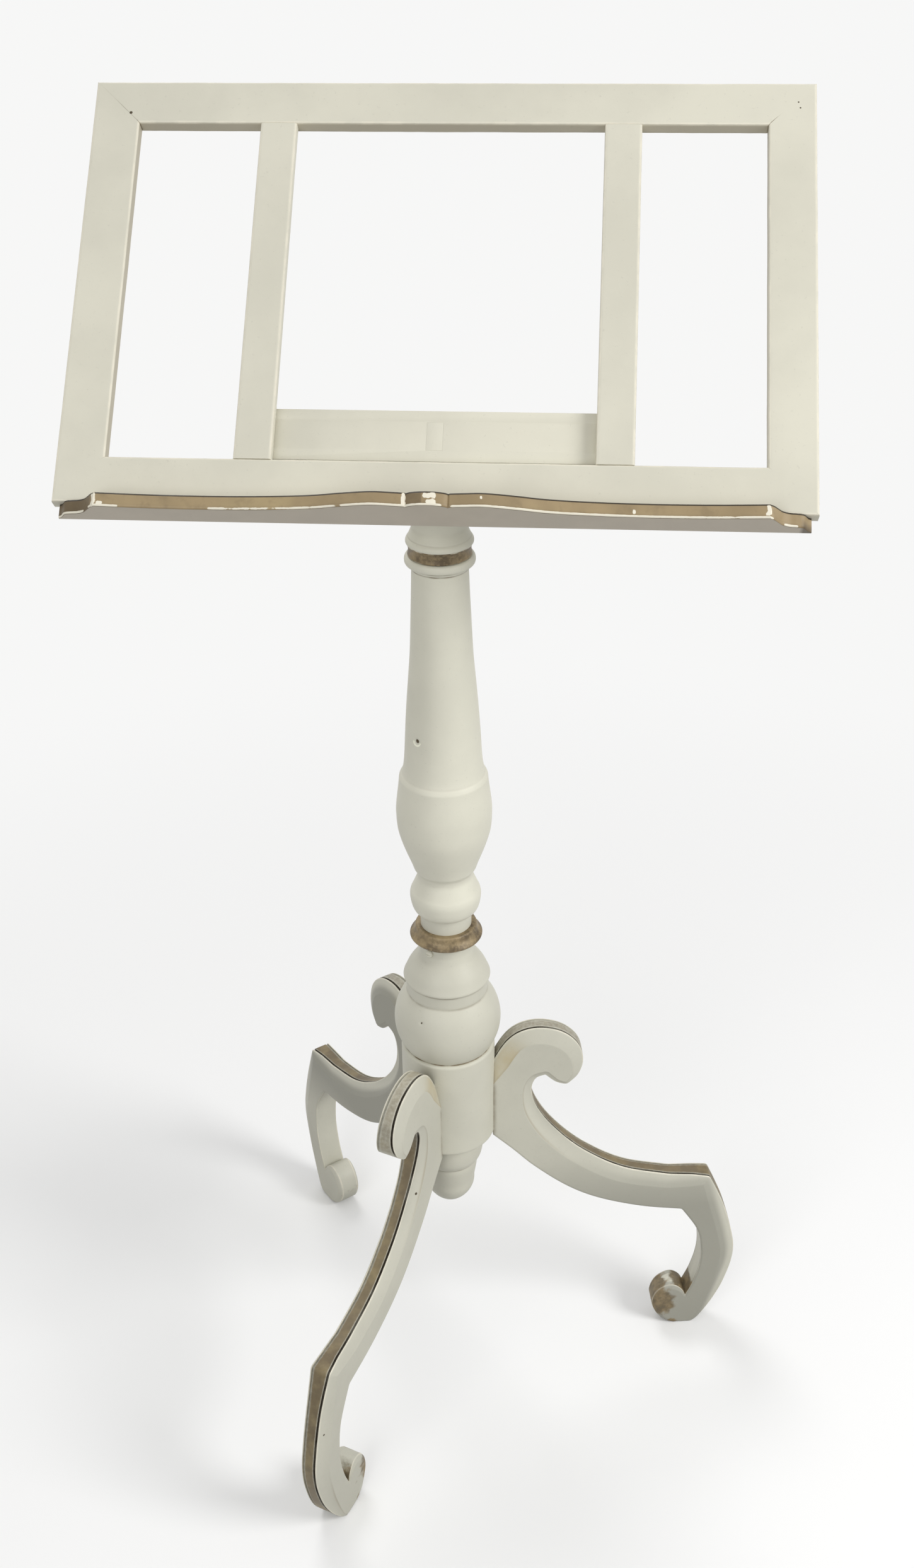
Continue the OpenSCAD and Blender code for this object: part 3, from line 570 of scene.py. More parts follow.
class LecternStage(bpy.types.Operator):
    """A pale floor, soft lamps and a camera at the photograph's viewpoint."""

    bl_idname = "lectern.stage"
    bl_label = "Stage"

    def execute(self, context):
        scene = context.scene
        self.floor(scene)
        self.world(scene)
        self.lamp(scene, "key", -22, 26, 2.6, 1.2, 40)
        self.lamp(scene, "fill", -108, 20, 2.8, 1.8, 22)
        self.lamp(scene, "back", 115, 45, 2.6, 1.4, 21)
        self.camera(scene)
        scene.view_settings.view_transform = "Standard"
        return {"FINISHED"}

    def seen(self, tree):
        """1 where the camera or a reflection sees the background, and 0 where it gives light."""
        ray = tree.nodes.new("ShaderNodeLightPath")
        total = ray.outputs["Is Camera Ray"]
        for name in ("Is Glossy Ray", "Is Transmission Ray"):
            most = tree.nodes.new("ShaderNodeMath")
            most.operation = "MAXIMUM"
            tree.links.new(total, most.inputs[0])
            tree.links.new(ray.outputs[name], most.inputs[1])
            total = most.outputs[0]
        return total

    def floor(self, scene):
        """A floor, just under the feet, that takes the shadow near the object and is evenly pale
        away from it."""
        size, depth, lit, pale = 14, 0.0004, (0.42, 0.42, 0.415), (0.93, 0.93, 0.925)
        mesh = bpy.data.meshes.new("floor")
        edge = np.array([[-1, -1], [1, -1], [1, 1], [-1, 1]]) * size
        mesh.from_pydata([(x, y, -depth) for x, y in edge.tolist()], [], [[0, 1, 2, 3]])
        floor = bpy.data.objects.new("floor", mesh)
        scene.collection.objects.link(floor)
        f = Finish("pale_floor")
        f.set("Roughness", 0.9)
        f.set("Specular IOR Level", 0.1)
        seen = self.seen(f.tree)
        f.colour(f.mix(seen, lit, pale))
        reach = f.add("ShaderNodeVectorMath", operation="LENGTH")
        f.link(f.place, reach.inputs[0])
        far = f.times(f.span(reach.outputs["Value"], 0.45, 1.5), seen)
        glow = f.add("ShaderNodeEmission")
        glow.inputs["Color"].default_value = (*pale, 1)
        blend = f.add("ShaderNodeMixShader")
        f.link(far, blend.inputs[0])
        f.link(f.shader.outputs[0], blend.inputs[1])
        f.link(glow.outputs[0], blend.inputs[2])
        f.link(blend.outputs[0], f.tree.nodes["Material Output"].inputs["Surface"])
        mesh.materials.append(f.material)

    def world(self, scene):
        """Plain soft light from all round, and a paler backdrop for the camera."""
        light, backdrop = 0.5, 0.93
        world = bpy.data.worlds.new("soft_room")
        world.use_nodes = True
        tree = world.node_tree
        back = tree.nodes["Background"]
        back.inputs["Color"].default_value = (1, 1, 1, 1)
        level = tree.nodes.new("ShaderNodeMapRange")
        level.inputs["To Min"].default_value = light
        level.inputs["To Max"].default_value = backdrop
        tree.links.new(self.seen(tree), level.inputs[0])
        tree.links.new(level.outputs[0], back.inputs["Strength"])
        scene.world = world

    def lamp(self, scene, name, azimuth, elevation, distance, size, power):
        """A round lamp that faces the top of the column, from a direction in degrees."""
        a, e = math.radians(azimuth), math.radians(elevation)
        back = np.array([math.cos(a) * math.cos(e), math.sin(a) * math.cos(e), math.sin(e)])
        place = back * distance + [0, 0, 0.85]
        data = bpy.data.lights.new(name, "AREA")
        data.shape = "DISK"
        data.size = size
        data.energy = power
        lamp = bpy.data.objects.new(name, data)
        side = np.cross([0, 0, 1], back)
        side /= np.linalg.norm(side)
        turn = Matrix(np.stack([side, np.cross(back, side), back], axis=1).tolist())
        lamp.matrix_world = Matrix.Translation(place.tolist()) @ turn.to_4x4()
        scene.collection.objects.link(lamp)

    def camera(self, scene):
        """Looks ahead by the view's yaw and pitch, and is turned about that line by its roll."""
        view = values("lectern_view")
        cy, sy = math.cos(view.yaw), math.sin(view.yaw)
        cp, sp = math.cos(view.pitch), math.sin(view.pitch)
        ahead = np.array([-sy * cp, cy * cp, -sp])
        right = np.array([cy, sy, 0])
        up = np.cross(right, ahead)
        c, s = math.cos(view.roll), math.sin(view.roll)
        turn = np.stack([c * right + s * up, c * up - s * right, -ahead], axis=1)
        data = bpy.data.cameras.new("camera")
        data.sensor_width = 36
        data.lens = view.focal
        camera = bpy.data.objects.new("camera", data)
        camera.matrix_world = Matrix.Translation(view.place) @ Matrix(turn.tolist()).to_4x4()
        scene.collection.objects.link(camera)
        scene.camera = camera


# Radius of the hub's boss, which the legs meet
BOSS_R = 42.0


def heights(node):
    """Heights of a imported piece's lowest and highest point in millimetres."""
    return [corner.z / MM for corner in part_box(node)]


def above(height, *points):
    """Profile points whose heights are given from a height."""
    return np.array(points) + [0, height]


class LecternColumn(bpy.types.Operator):
    """The turned baluster with its bell, waist, belly, taper and torus."""

    bl_idname = "lectern.column"
    bl_label = "Column"

    def execute(self, context):
        low, high = heights("column_shaft")
        drawn = 330.7
        outline = np.vstack([
            [[0, 0], [24, 0]],
            curve([[26, 0], [28, 3], [29.6, 8], [30.5, 15], [29.8, 19.5], [28.2, 23], [26.2, 28],
                   [23.8, 35], [24.4, 40], [26.6, 43.5]], 6),
            curve([[26.6, 43.5], [29, 51], [33.2, 62.5], [36.9, 74], [39.2, 84], [40, 95],
                   [40, 104], [38.8, 115], [37.4, 126], [36.8, 133]], 6),
            curve([[36.8, 133], [35.6, 135.4], [33.8, 139], [32.2, 150], [30.7, 174], [29.2, 198],
                   [27.2, 222], [25.2, 248], [23.8, 280], [22.8, 305], [22.3, 320.5]], 6),
            [[23.4, 320.8], [23.8, 321.4], [23.8, 322.8], [24.6, 323.2]],
            curve([[26.2, 323.6], [27.4, 324.7], [27.8, 327], [27.3, 329.4], [26, drawn]], 4),
            [[0, drawn]],
        ])
        outline[:, 1] = low + outline[:, 1] * (high - low) / drawn
        turned_piece("column_baluster", outline, "column_paint", "column",
                     "column_shaft", dents=[(-129, 694, 2.5, 2.0)], step=0.5, dirt=0.8)
        return {"FINISHED"}


class LecternBase(bpy.types.Operator):
    """The turned hub with its ball, lip and neck, its gilded collar and the drop below."""

    bl_idname = "lectern.base"
    bl_label = "Hub, collar and drop"

    def execute(self, context):
        foot, top = heights("hub")
        # The height of the ball's centre, its radius, and the height where the boss ends
        ball, ball_r, boss_top = top - 117, 47.5, foot + 104
        start = -math.asin((ball - boss_top) / ball_r)
        a = np.linspace(start, math.radians(42), 24)
        hub = np.vstack([
            [[0, foot], [BOSS_R - 1.5, foot], [BOSS_R, foot + 1.5], [BOSS_R, boss_top - 1.5],
             [BOSS_R - 1.5, boss_top]],
            np.stack([ball_r * np.cos(a), ball + ball_r * np.sin(a)], axis=1),
            [[36, ball + 33]],
            curve(above(ball, [36, 45], [38.5, 46.5], [36.8, 51], [33.8, 58], [29, 65],
                        [24.5, 70], [22, 77]), 5),
            [[22, top], [14.07, top], [14.07, foot + 38], [0, foot + 38]],
        ])
        turned_piece("turned_hub", hub, "grey_paint", "base", "hub",
                     dents=[(-117, ball + 19, 1.2, 0.8)])
        low, high = heights("collar_ring")
        collar = np.vstack([
            above(low, [22.05, 0], [23.5, 0], [25, 1], [27.5, 3.2], [30.9, 5.2], [31.7, 6],
                  [31.3, 7.2], [29, 9.5], [27.5, 12]),
            above(high, [26.6, -1.2], [25.4, 0], [22.05, 0]),
        ])
        turned_piece("gilded_collar", collar, "gilding", "base", "collar_ring",
                     step=0.5, passes=2)
        drop = np.vstack([
            above(foot, [0, -86], [0.5, -86]),
            curve(above(foot, [0.5, -86], [6, -85.4], [13, -82], [19.5, -74], [22.6, -66],
                        [23, -58], [24.2, -50], [25.6, -40], [25, -34.5]), 5),
            curve(above(foot, [27.4, -33], [30, -27], [31.3, -16], [31.5, -4], [30.7, -0.05]), 5),
            above(foot, [9, -0.05], [9, 16], [0, 16]),
        ])
        turned_piece("drop", drop, "grey_paint", "base", "drop_finial")
        return {"FINISHED"}


class LecternHead(bpy.types.Operator):
    """The gilded cove and the turned cup under the desk."""

    bl_idname = "lectern.head"
    bl_label = "Cup and cove"

    def execute(self, context):
        low, high = heights("swivel_ring")
        h = high - low
        cove = np.vstack([
            [[14.05, low], [25.2, low]],
            curve([[25.2, low], [24.9, low + 1.5], [24.4, low + h * 0.45], [24.9, low + h * 0.8],
                   [26, high]], 5),
            [[14.05, high]],
        ])
        turned_piece("gilded_cove", cove, "gilding", "head", "swivel_ring",
                     step=0.5, passes=2, dirt=1.0)
        top = heights("head_cup")[1]
        cup = np.vstack([
            [[0, low], [14, low], [14, high]],
            curve(above(high, [26.1, 0], [26.5, 1.4], [26.3, 3], [25.2, 5]), 5),
            curve([*above(high, [24.4, 5.4], [24.2, 6.5], [22, 12]),
                   *above(top, [22, -10], [23.4, -4], [24.5, 0])], 5),
            [[0, top]],
        ])
        turned_piece("turned_cup", cup, "column_paint", "head", "head_cup",
                     step=0.5, passes=2, dirt=0.7)
        return {"FINISHED"}


# Stretches of a leg's outline, each from the end of the last: distance out from the boss, height
# and the width of the bevel
LEG_STRETCHES = {
    "scroll": [[-2.2, 348, 14], [10, 370, 14], [24, 381, 14], [42, 384, 14], [62, 378, 14],
               [76, 364, 13], [81, 347, 11], [77, 331, 7], [66, 320, 3]],
    "lip": [[56, 323, 4], [46, 332, 5]],
    "hollow": [[37, 327, 7], [34, 312, 9], [40, 290, 12], [57, 263, 14], [84, 235, 14],
               [123, 210, 14], [168, 198, 13]],
    "knee": [[190, 196.5, 11], [207, 194, 8]],
    "shin": [[221, 161, 13], [232, 124, 14], [237, 92, 14], [231, 56, 13], [219, 26, 9],
             [205, 5, 3]],
    "sole": [[199, 0, 1.5], [180, 0, 1.5]],
    "foot": [[169, 5, 3.5], [161, 16, 5], [158, 29, 5], [164, 44, 5], [177, 51, 4],
             [187, 45, 2.5], [191, 37, 1.5]],
    "calf": [[198, 56, 1.5], [203, 80, 1.5], [203, 102, 1.5], [198, 127, 1.5], [181, 156, 1.5]],
    "thigh": [[141, 163, 1.5], [99, 177, 1.5], [68, 195, 1.5], [37, 222, 1.5], [17, 244, 1.5],
              [-2.2, 264, 1.5]],
}
SHARP_STRETCHES = ("knee", "sole")
# Places on a leg that are shaped, stained or given painted shade apart: distance out from the boss,
# height and size
LEG_SPOTS = {
    "root": (2, 360, 22), "hollow": (48, 290, 46), "toe": (222, 30, 38), "roll": (170, 30, 26),
    "crease_shade": (189, 42, 14), "ankle": (172, 38, 30), "patch": (160, 30, 21), "heel": (178, 1, 6),
}
# The legs: direction in degrees, the side whose groove is open, 1 for counterclockwise seen from
# above, strength of the brown patina and the painted crease shade on the foot, strength of the
# painted shade on the flat sides, and the heights between which that lies
LEGS = {
    "front": (-112, 1, 0.7, 0.1, 0, 160),
    "right": (8, -1, 1.3, 0.9, 0, 160),
    "back": (128, 1, 0.3, 1.1, 185, 390),
}
# Rows over a leg's bevel, from the flat side to the rim: share of its width, and of the shade in
# the corner that the cove makes with the flat side
BEVEL_ROWS = ((1, 0), (0.97, 1), (0.92, 0.8), (0.84, 0.1), (0.7, 0), (0.55, 0), (0.4, 0), (0.25, 0),
              (0.14, 0))
# Rows down a leg's rim, from its arris to the middle: the depth of the row below the arris, how far
# it is cut in, and the share of pale paint, dark groove and olive that it carries. The groove is
# olive on the side of the arris and dark on the side of the middle band.
RIM_ROWS = (
    (0.3, 0.08, 0.9, 0, 0),
    (0.6, 0.1, 0.5, 0, 0),
    (0.8, 0.9, 0.1, 0.1, 0.6),
    (1, 1.5, 0, 0.4, 0.6),
    (1.3, 1.7, 0, 1, 0.2),
    (2.3, 1.7, 0, 1, 0.2),
    (2.6, 0.7, 0, 1, 0.2),
    (2.8, 0.15, 0.05, 0.5, 0.3),
    (3.0, 0, 0.15, 0, 0.5),
    (3.4, 0, 0.1, 0, 0.7),
    (4.0, 0, 0, 0, 0.9),
    (5.2, 0, 0, 0, 1),
)


def leg_lines():
    """The leg's rim, and the line where its bevel meets the flat side: each point is moved by the
    bevel's width along the mean of the inward normals before and after it."""
    parts, last = [], []
    for name, points in LEG_STRETCHES.items():
        parts.append(curve(last + points, 1 if name in SHARP_STRETCHES else 5)[:-1])
        last = points[-1:]
    raw = np.vstack([*parts, last])
    rim = raw[:, :2] + [BOSS_R, 0]
    along = np.roll(rim, -1, axis=0) - rim
    along /= np.linalg.norm(along, axis=1)[:, None]
    after = np.stack([along[:, 1], -along[:, 0]], axis=1)
    before = np.roll(after, 1, axis=0)
    mean = before + after
    mean /= np.linalg.norm(mean, axis=1)[:, None]
    mean[0], mean[-1] = (0, -1), (0, 1)
    edge = after.copy()
    edge[-1] = before[-1]
    reach = raw[:, 2] / np.maximum((mean * edge).sum(axis=1), 0.6)
    both = np.hstack([rim, rim + mean * reach[:, None], raw[:, 2:]])
    both = blur(resample(both, 1.6), 3)
    return both[:, :2], both[:, 2:4], both[:, 4]


def spot(place, name):
    """1 at one of the leg's spots, falling off as a bell curve of its size."""
    out, height, size = LEG_SPOTS[name]
    return np.exp(-(((place - [BOSS_R + out, height]) ** 2).sum(axis=-1)) / size**2)


def leg_piece(side, direction, open_side, stain, dusk, shade_from, shade_to):
    """A sawn plank: rows of points run from the flat side over the bevel, round the arris and down
    the rim to the other side. The bevel's depth is its slope times 1 - w^q, w from 0 at the rim to
    1, so that q above 1 makes the hollow a cove. The flat sides are filled with triangles. On the
    side away from the open one, the groove's dark paint is half as strong."""
    half, slope = 12.5, 0.39
    rim, inset, bevel = leg_lines()
    inward = inset - rim
    width = np.linalg.norm(inward, axis=1)
    unit = inward / width[:, None]
    roll, hollow, toe, root = (spot(rim, name) for name in ("roll", "hollow", "toe", "root"))
    deep = bevel * slope * (1 + 1.1 * roll)
    edge_half = half - deep
    outer = np.clip((bevel - 5.5) / 3, 0, 1)
    q = 0.85 + 1.3 * hollow + 0.8 * toe - 0.4 * roll
    # Painted shade in the corner that the cove makes with the flat side, strongest at the hollow,
    # the toe and the scroll's root
    cove_shade = np.clip(hollow + 1.0 * toe + 0.8 * root, 0, 1)
    none = np.zeros_like(bevel)
    wander = outer * (0.2 + 0.2 * ripple(np.c_[rim, none], 38, 5))
    # Painted shade in the crease between the roll and the calf, carried on the rim rows with the
    # patina
    crease_shade = spot(rim, "crease_shade")
    rows = []

    def add_row(line, level, **marks):
        rows.append((line + unit * wander[:, None], np.broadcast_to(level, bevel.shape), marks))

    add_row(rim + inward + unit * 0.8, half)
    for w, line in BEVEL_ROWS:
        add_row(rim + inward * w, half - deep * (1 - w**q), shade=cove_shade * line,
                amber=root * (w < 0.98))
    lip = np.minimum(0.9 / width, 0.1)
    add_row(rim + inward * lip[:, None], half - deep * (1 - lip**q), worn=none + 0.5)
    add_row(rim + unit * 0.3, edge_half + 0.05, worn=none + 1)
    for below, depth, pale, dark, olive in RIM_ROWS:
        add_row(rim + unit * (outer * depth)[:, None], edge_half - below,
                worn=np.maximum(outer * pale, (below < 0.7) * 1.0), groove=outer * dark,
                edge=outer * olive, patina=crease_shade * (below > 0.5))
    add_row(rim, none, edge=outer, patina=crease_shade)
    rows += [(line, -level, marks) for line, level, marks in rows[-2::-1]]

    flat, flat_faces = filled_outline(rows[0][0], 5.0)
    place = np.vstack([*(row[0] for row in rows), flat, flat])
    across = np.concatenate([*(row[1] for row in rows), [half] * len(flat), [-half] * len(flat)])
    blank = np.zeros(2 * len(flat))
    marks = {key: np.concatenate([*(row[2].get(key, none) for row in rows), blank])
             for key in ("worn", "groove", "edge", "shade", "amber", "patina")}
    marks["patina"] = stain * np.max(
        [marks["patina"], spot(place, "patch"), 0.8 * spot(place, "heel")], axis=0)
    # Painted shade over the flat sides between the given heights, and round the ankle
    outside = np.clip((np.abs(across) - 9) / 2, 0, 1)
    ankle = spot(place, "ankle") * (np.abs(across) > 5)
    dull = envelope(place[:, 1], shade_from, shade_to, 70) * np.maximum(outside, ankle)
    marks["dusk"] = dusk * dull
    # The rim is paler over the scroll, and the joint with the boss is dirty
    marks["edge"] *= 1 - 0.5 * np.clip((place[:, 1] - 290) / 40, 0, 1)
    marks["groove"] *= np.where(across * open_side < 0, 0.5, 1)
    marks["grime"] = 0.7 * np.clip((BOSS_R + 0.8 - place[:, 0]) / 3, 0, 1)
    faces = ring_faces(len(rows), len(bevel))
    for start in (len(rows) * len(bevel), len(rows) * len(bevel) + len(flat)):
        faces += [[start + k for k in face] for face in flat_faces]
    c, s = math.cos(math.radians(direction)), math.sin(math.radians(direction))
    vertices = np.stack([place[:, 0] * c - across * s, place[:, 0] * s + across * c,
                         np.maximum(place[:, 1], 0)], axis=1)
    mesh_piece(f"{side}_scroll_leg", vertices * MM, faces, marks, 48, "leg_paint", "base",
               f"{side}_leg")


def filled_outline(outline, spacing):
    """Triangles that fill a plane outline: its own points and a lattice of points inside it, joined
    by a Delaunay triangulation that keeps the outline's edges."""
    low, high = outline.min(axis=0), outline.max(axis=0)
    x, y = np.meshgrid(np.arange(low[0], high[0], spacing), np.arange(low[1], high[1], spacing))
    lattice = np.stack([x.ravel(), y.ravel()], axis=1)
    a, b = outline, np.roll(outline, -1, axis=0)
    straddles = (a[:, 1] > lattice[:, 1:]) != (b[:, 1] > lattice[:, 1:])
    rise = np.where(b[:, 1] == a[:, 1], 1, b[:, 1] - a[:, 1])
    cross = a[:, 0] + (lattice[:, 1:] - a[:, 1]) / rise * (b[:, 0] - a[:, 0])
    inside = (straddles & (lattice[:, :1] < cross)).sum(axis=1) % 2 == 1
    gap = np.linalg.norm(lattice[:, None] - outline[None], axis=2).min(axis=1)
    points = np.vstack([outline, lattice[inside & (gap > spacing * 0.4)]])
    n = len(outline)
    result = delaunay_2d_cdt(points.tolist(), [(i, (i + 1) % n) for i in range(n)], [], 1, 1e-6)
    return np.array([tuple(v) for v in result[0]]), [list(face) for face in result[2]]


class LecternLegs(bpy.types.Operator):
    """Three scrolled legs, sawn from plank and bevelled along the outer edge."""

    bl_idname = "lectern.legs"
    bl_label = "Legs"

    def execute(self, context):
        for side, settings in LEGS.items():
            leg_piece(side, *settings)
        return {"FINISHED"}


def bar_piece(node, width, depth, ends, place, inner=None, seams=None):
    """A painted bar of the desk: a rounded section (s, t), s across it and t down from its face,
    carried along a line whose two ends may depend on s, as a mitre does. Its arrises wander a
    little. Inner gives the shade on its section, and seams how open and dirty the joint is at
    either end, for each s."""
    corners = [[0, 0], [width, 0], [width, -depth], [0, -depth]]
    section = round_section(corners, values("lectern_wear").arris / MM)
    spacing, full_corner, row_gap = 1.2, 0.5, 3
    section = resample(section, spacing, loop=True)
    corner = np.clip(np.abs(turning(section, 1, loop=True)) / full_corner, 0, 1)
    s, t = section[:, 0], section[:, 1]
    low, high = ends(s)
    count = max(int((high - low).max() / row_gap), 6)
    share = np.r_[0, 0.0006, 0.002, np.linspace(0.006, 0.994, count), 0.998, 0.9994, 1][:, None]
    along = low + (high - low) * share
    centre = section - [width / 2, -depth / 2]
    outward = centre / np.linalg.norm(centre, axis=1)[:, None]
    flat = np.stack([along, np.broadcast_to(s, along.shape), np.broadcast_to(t, along.shape)], -1)
    wander = 0.16 * ripple(flat, 55, len(node)) - 0.12 + 0.07 * ripple(flat, 9, len(node) + 1)
    marks = {"worn": corner, "shade": inner(s, t) if inner else 0}
    shift = np.minimum(wander * corner, 0)
    if seams:
        at_low, at_high = seams(s)
        fade = (0, 0.0006, 0.002), (1, 0.7, 0)
        marks["grime"] = np.interp(share, *fade) * at_low + np.interp(1 - share, *fade) * at_high
        shift -= 0.12 * marks["grime"]
    flat[..., 1:] += outward * shift[..., None]
    desk_piece(f"desk_{node}", place(flat), marks, "cream_paint", node)


class LecternFrame(bpy.types.Operator):
    """The mitred frame of the desk and its two slats."""

    bl_idname = "lectern.frame"
    bl_label = "Desk frame"

    def execute(self, context):
        desk = values("lectern_desk")
        w, h, rail, deep = (x / MM for x in (desk.width, desk.height, desk.rail, desk.thickness))
        slat_w, slat_deep, slat_x = 28, 9, 131

        # From along and across a bar to right and up on the desk, and the shade of an inner face
        def across(base):
            return lambda p: p + [0, base, 0]

        def upward(edge, side):
            return lambda p: np.stack([edge + side * p[..., 1], p[..., 0], p[..., 2]], axis=-1)

        def face_at(edge):
            return lambda s, t: np.clip(1 - np.abs(s - edge) / 0.8, 0, 1) * (t < -1)

        bar_piece("top_rail", rail, deep, lambda s: (rail - s - w / 2, w / 2 - rail + s),
                  across(h - rail), inner=face_at(0),
                  seams=lambda s: (np.exp(-s / 30), np.exp(-((s / 9) ** 4))))
        bar_piece("bottom_rail", rail, deep, lambda s: (s - w / 2, w / 2 - s), across(0))
        for side, node in ((1, "left_stile"), (-1, "right_stile")):
            bar_piece(node, rail, deep, lambda s: (s, h - s), upward(-side * w / 2, side),
                      inner=face_at(rail))
        for side, node in ((-1, "left_slat"), (1, "right_slat")):
            bar_piece(node, slat_w, slat_deep, lambda s: (rail + 0 * s, h - rail + 0 * s),
                      upward(side * slat_x - slat_w / 2, 1))
        return {"FINISHED"}


# Where the ledge's lower arris is bare: from, to (mm to the right of the middle), and how much
BARE_SPANS = ((-241, -234, 1.0), (-231, -223, 0.8), (-268, -250, 1.0), (-155, -146, 0.9),
              (-141, -93, 0.6), (-92, -66, 0.8), (-60, -17, 1.0), (-15, 9, 1.0), (19, 176, 1.0),
              (178, 222, 0.8), (224, 239, 1.0), (252, 258, 0.9))
# Chips of the ledge's face: from, to, from and to above the lower arris, in millimetres
CHIPS = ((-2, 6, 6.5, 8.2), (1, 6, 2, 3.4), (237.2, 238.4, 3, 8.4), (-240, -239, 1, 9),
         (38, 38.6, 6.6, 7.2), (144.6, 145.2, 3, 5.4), (-16.6, -16.3, 1, 9.6), (-236, -233, 2, 2.4))
# Rows over the ledge, from the back of its underside round the front to the back of its top:
# distance in from the front edge, as a share of the ledge's depth and in millimetres, height above
# the underside, and shares of ground, brown, bare and painted shadow along the top arris
LEDGE_ROWS = (
    *((share, 0, 0, 1, 0, 0, 0) for share in (1, 0.75, 0.5, 0.3)),
    (0, 2.0, 0, 1, 0, 0, 0),
    (0, 1.7, 0, 0.6, 0.8, 0, 0),
    (0, 1.2, 0.03, 0.2, 0.9, 0, 0),
    (0, 0.95, 0.08, 0, 0.2, 0.7, 0),
    (0, 0.55, 0.3, 0, 0, 1, 0),
    (0, 0.25, 0.6, 0, 0, 1, 0),
    (0, 0.05, 0.95, 0, 0, 1, 0),
    (0, 0, 1.2, 0, 0, 0.8, 0),
    (0, 0, 1.45, 0, 0, 0.3, 0),
    (0, 0, 1.7, 0, 0.3, 0, 0),
    *((0, 0, height, 0, 0, 0, 0) for height in (2.6, 3.5, 4.5, 5.5, 6.5, 7.5, 8.5, 8.9)),
    (0, 0.02, 9.2, 0, 0, 0, 0.9),
    (0, 0.12, 9.9, 0, 0, 0, 1),
    (0, 0.4, 10.3, 0, 0, 0, 1),
    (0, 0.8, 10.5, 0, 0, 0, 0.6),
    (0, 2, 10.5, 0, 0, 0, 0.2),
    *((share, 0, 10.5, 0, 0, 0, 0) for share in (0.3, 0.6, 1)),
)
# Half the ledge's length, how far it reaches in behind the desk's face, and its thickness
LEDGE_HALF, LEDGE_TUCK, LEDGE_DEEP = 270, 8, 10.5


class LecternLedge(bpy.types.Operator):
    """The shaped and gilded book ledge: the rows of a section, carried along x, whose front
    follows the front edge."""

    bl_idname = "lectern.ledge"
    bl_label = "Book ledge"

    def front_edge(self):
        """Half of the ledge's front edge, from the middle: (x, distance out from the frame).
        Smooth curves run along the lobe, along the wing, which swells and falls to the waist, and
        down the step to the rounded end."""
        half, tuck, lobe, out, waist, end = LEDGE_HALF, LEDGE_TUCK, 16, 29.5, 15, 3
        step = half - 31
        swell = out - waist
        wing = np.array([[0, 0.79], [0.05, 0.87], [0.11, 0.92], [0.2, 0.68], [0.3, 0.34],
                         [0.42, 0.14], [0.55, 0.03], [0.7, 0], [0.85, 0.06], [1, 0.2]])
        stop = np.array([[0.4, 0.95], [3, 0.82], [6.5, 0.5], [10, 0.22], [15, 0.05], [20, 0]])
        return np.vstack([
            curve([[0, out], [6, out - 0.4], [12, out - 1.9], [lobe - 1, out - 4]], 6),
            curve([lobe, waist] + wing * [step - lobe, swell], 6),
            curve(np.vstack([[step, end] + stop * [1, waist + 0.2 * swell - end],
                             [[half - 6, end - 1.5], [half - 2.5, 4 - tuck],
                              [half, 2 - tuck]]]), 6),
        ])

    def execute(self, context):
        side = self.front_edge()
        steps = np.arange(-LEDGE_HALF, LEDGE_HALF + 0.4, 0.75)
        x = np.unique(np.r_[steps, side[:, 0], -side[:, 0]].round(3))
        left = x[:, None]
        body = np.interp(np.abs(left), side[:, 0], side[:, 1]) + LEDGE_TUCK
        rows = np.array(LEDGE_ROWS, float)
        inward = body * rows[:, 0] + np.minimum(1, body / 6) * rows[:, 1]
        shape = (5, *inward.shape)
        level, under, brown, pale, contact_shadow = np.broadcast_to(rows[:, 2:].T[:, None], shape)
        place = np.stack([np.broadcast_to(left, level.shape), level - LEDGE_DEEP,
                          body - inward - LEDGE_TUCK], axis=-1)
        edge = np.maximum(pale, contact_shadow)
        place[..., 2] -= (0.12 + 0.12 * ripple(place, 26, 3)) * edge
        spans = sum(share * envelope(left, low, high, 4) for low, high, share in BARE_SPANS)
        spans = np.clip(spans * (0.9 + 0.3 * ripple(place, 16, 8)), 0, 1)
        bare = pale * spans
        stray = ripple(place, 9, 12)
        for low, high, foot, top in CHIPS:
            patch = envelope(left + stray, low, high, 2) * envelope(level + stray, foot, top, 1.8)
            bare = np.maximum(bare, patch * (1 + 0.3 * ripple(place, 4, 13)) * (inward < 1.5))
        ends = np.clip((np.abs(left) - 240) / 3, 0, 1)
        # Painted shade in the step and end on the left, faint on the right, and on the face that
        # recedes just left of the middle
        dull = np.where(left < 0, ends, 0.15 * ends) + 0.7 * envelope(left, -15.6, -4, 1)
        corner = envelope(left, 264, 270, 3) * np.clip((6 - level) / 5, 0, 1)
        grime = np.maximum(brown * (0.25 + 0.75 * spans), corner)
        # The line mark is the painted shadow along the top arris, left out where the arris is bare
        marks = {"under": under, "grime": grime, "bare": bare, "dull": dull,
                 "line": contact_shadow * (bare < 0.5)}
        desk_piece("gilded_ledge", place, marks, "faded_gold", "book_ledge")
        return {"FINISHED"}


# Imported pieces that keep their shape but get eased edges: body and slot
HARDWARE = {
    "corner_keys": ("desk", "bare_wood"),
    "tilt_fork": ("head", "grey_paint"),
    "tilt_bolt": ("head", "steel"),
    "bolt_washer": ("head", "steel"),
    "wing_nut": ("nut", "brass"),
    "tilt_tongue": ("desk", "cream_paint"),
    "cross_batten": ("desk", "cream_paint"),
    "lock_screw": ("lock", "steel"),
}


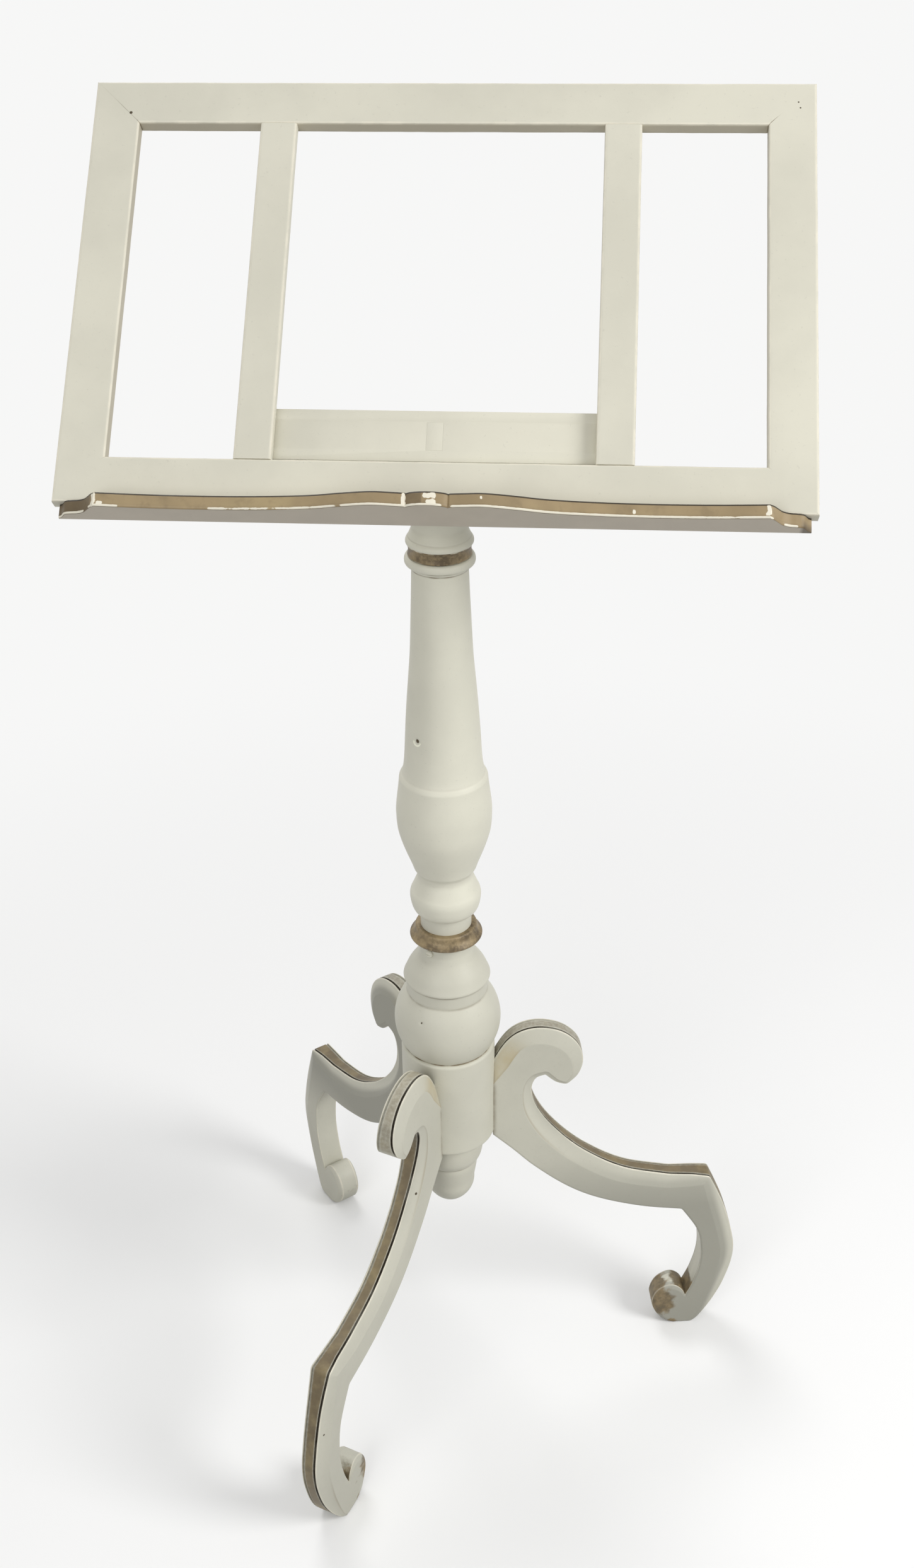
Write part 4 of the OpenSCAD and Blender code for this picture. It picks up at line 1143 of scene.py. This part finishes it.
class LecternHardware(bpy.types.Operator):
    """The head's block, bolt, nut, tongue and batten, with eased edges, and the lock screw, whose
    steel is painted over."""

    bl_idname = "lectern.hardware"
    bl_label = "Hardware"

    def execute(self, context):
        width = values("lectern_wear").eased
        for node, (body, slot) in HARDWARE.items():
            self.eased(node, body, slot, width * (2 if slot.endswith("paint") else 1))
        return {"FINISHED"}

    def sink(self, work):
        """Draws the corner keys in a little, under the paint of the frame's edges."""
        low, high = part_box("corner_keys")
        middle = (low + high) / 2
        for vertex in work.verts:
            vertex.co = middle + (vertex.co - middle) * 0.998

    def eased(self, node, body, slot, width):
        """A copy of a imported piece, its flat faces joined and its sharp edges bevelled."""
        source = frame["nodes"][node]
        work = bmesh.new()
        work.from_mesh(source.data)
        work.transform(source.matrix_world)
        bmesh.ops.remove_doubles(work, verts=work.verts, dist=MICRON)
        flat, sharp = math.radians(0.5), math.radians(35)
        bmesh.ops.dissolve_limit(work, angle_limit=flat, verts=work.verts, edges=work.edges)
        edges = [e for e in work.edges if len(e.link_faces) == 2 and e.calc_face_angle(0) > sharp]
        bmesh.ops.bevel(work, geom=edges, offset=width, offset_type="OFFSET", segments=2,
                        profile=0.5, affect="EDGES", clamp_overlap=True)
        if node == "corner_keys":
            self.sink(work)
        mesh = bpy.data.meshes.new(f"eased_{node}")
        work.to_mesh(mesh)
        work.free()
        # The lock screw takes the column's lighter copy of the grey paint, which holds painted
        # light
        finish = "column_paint" if node == "lock_screw" else slot
        add_piece(f"eased_{node}", mesh, 35, finish, body, node)


class LecternPanel(bpy.types.Panel):
    """Lists the sizes, colours and pieces."""

    bl_idname = "VIEW3D_PT_lectern"
    bl_label = "Easel Lectern"
    bl_space_type = "VIEW_3D"
    bl_region_type = "UI"
    bl_category = "Lectern"

    def draw(self, context):
        for group in GROUPS:
            settings = getattr(context.scene, group)
            for key in settings.bl_rna.properties.keys():
                if key not in ("rna_type", "name"):
                    self.layout.prop(settings, key)
        for piece in PIECES:
            self.layout.operator(piece.bl_idname)


GROUPS = {
    "lectern_finish": LecternFinish,
    "lectern_wear": LecternWear,
    "lectern_desk": LecternDesk,
    "lectern_view": LecternView,
}
PIECES = (LecternFinishes, LecternStage, LecternColumn, LecternBase, LecternHead, LecternLegs,
          LecternFrame, LecternLedge, LecternHardware)
CLASSES = (*GROUPS.values(), *PIECES, LecternPanel)


def register():
    for cls in CLASSES:
        bpy.utils.register_class(cls)
    for name, cls in GROUPS.items():
        setattr(bpy.types.Scene, name, PointerProperty(type=cls))


def unregister():
    for name in GROUPS:
        delattr(bpy.types.Scene, name)
    for cls in reversed(CLASSES):
        bpy.utils.unregister_class(cls)


def main():
    register()
    for piece in PIECES:
        group, name = piece.bl_idname.split(".")
        getattr(getattr(bpy.ops, group), name)()


if __name__ == "__main__":
    main()
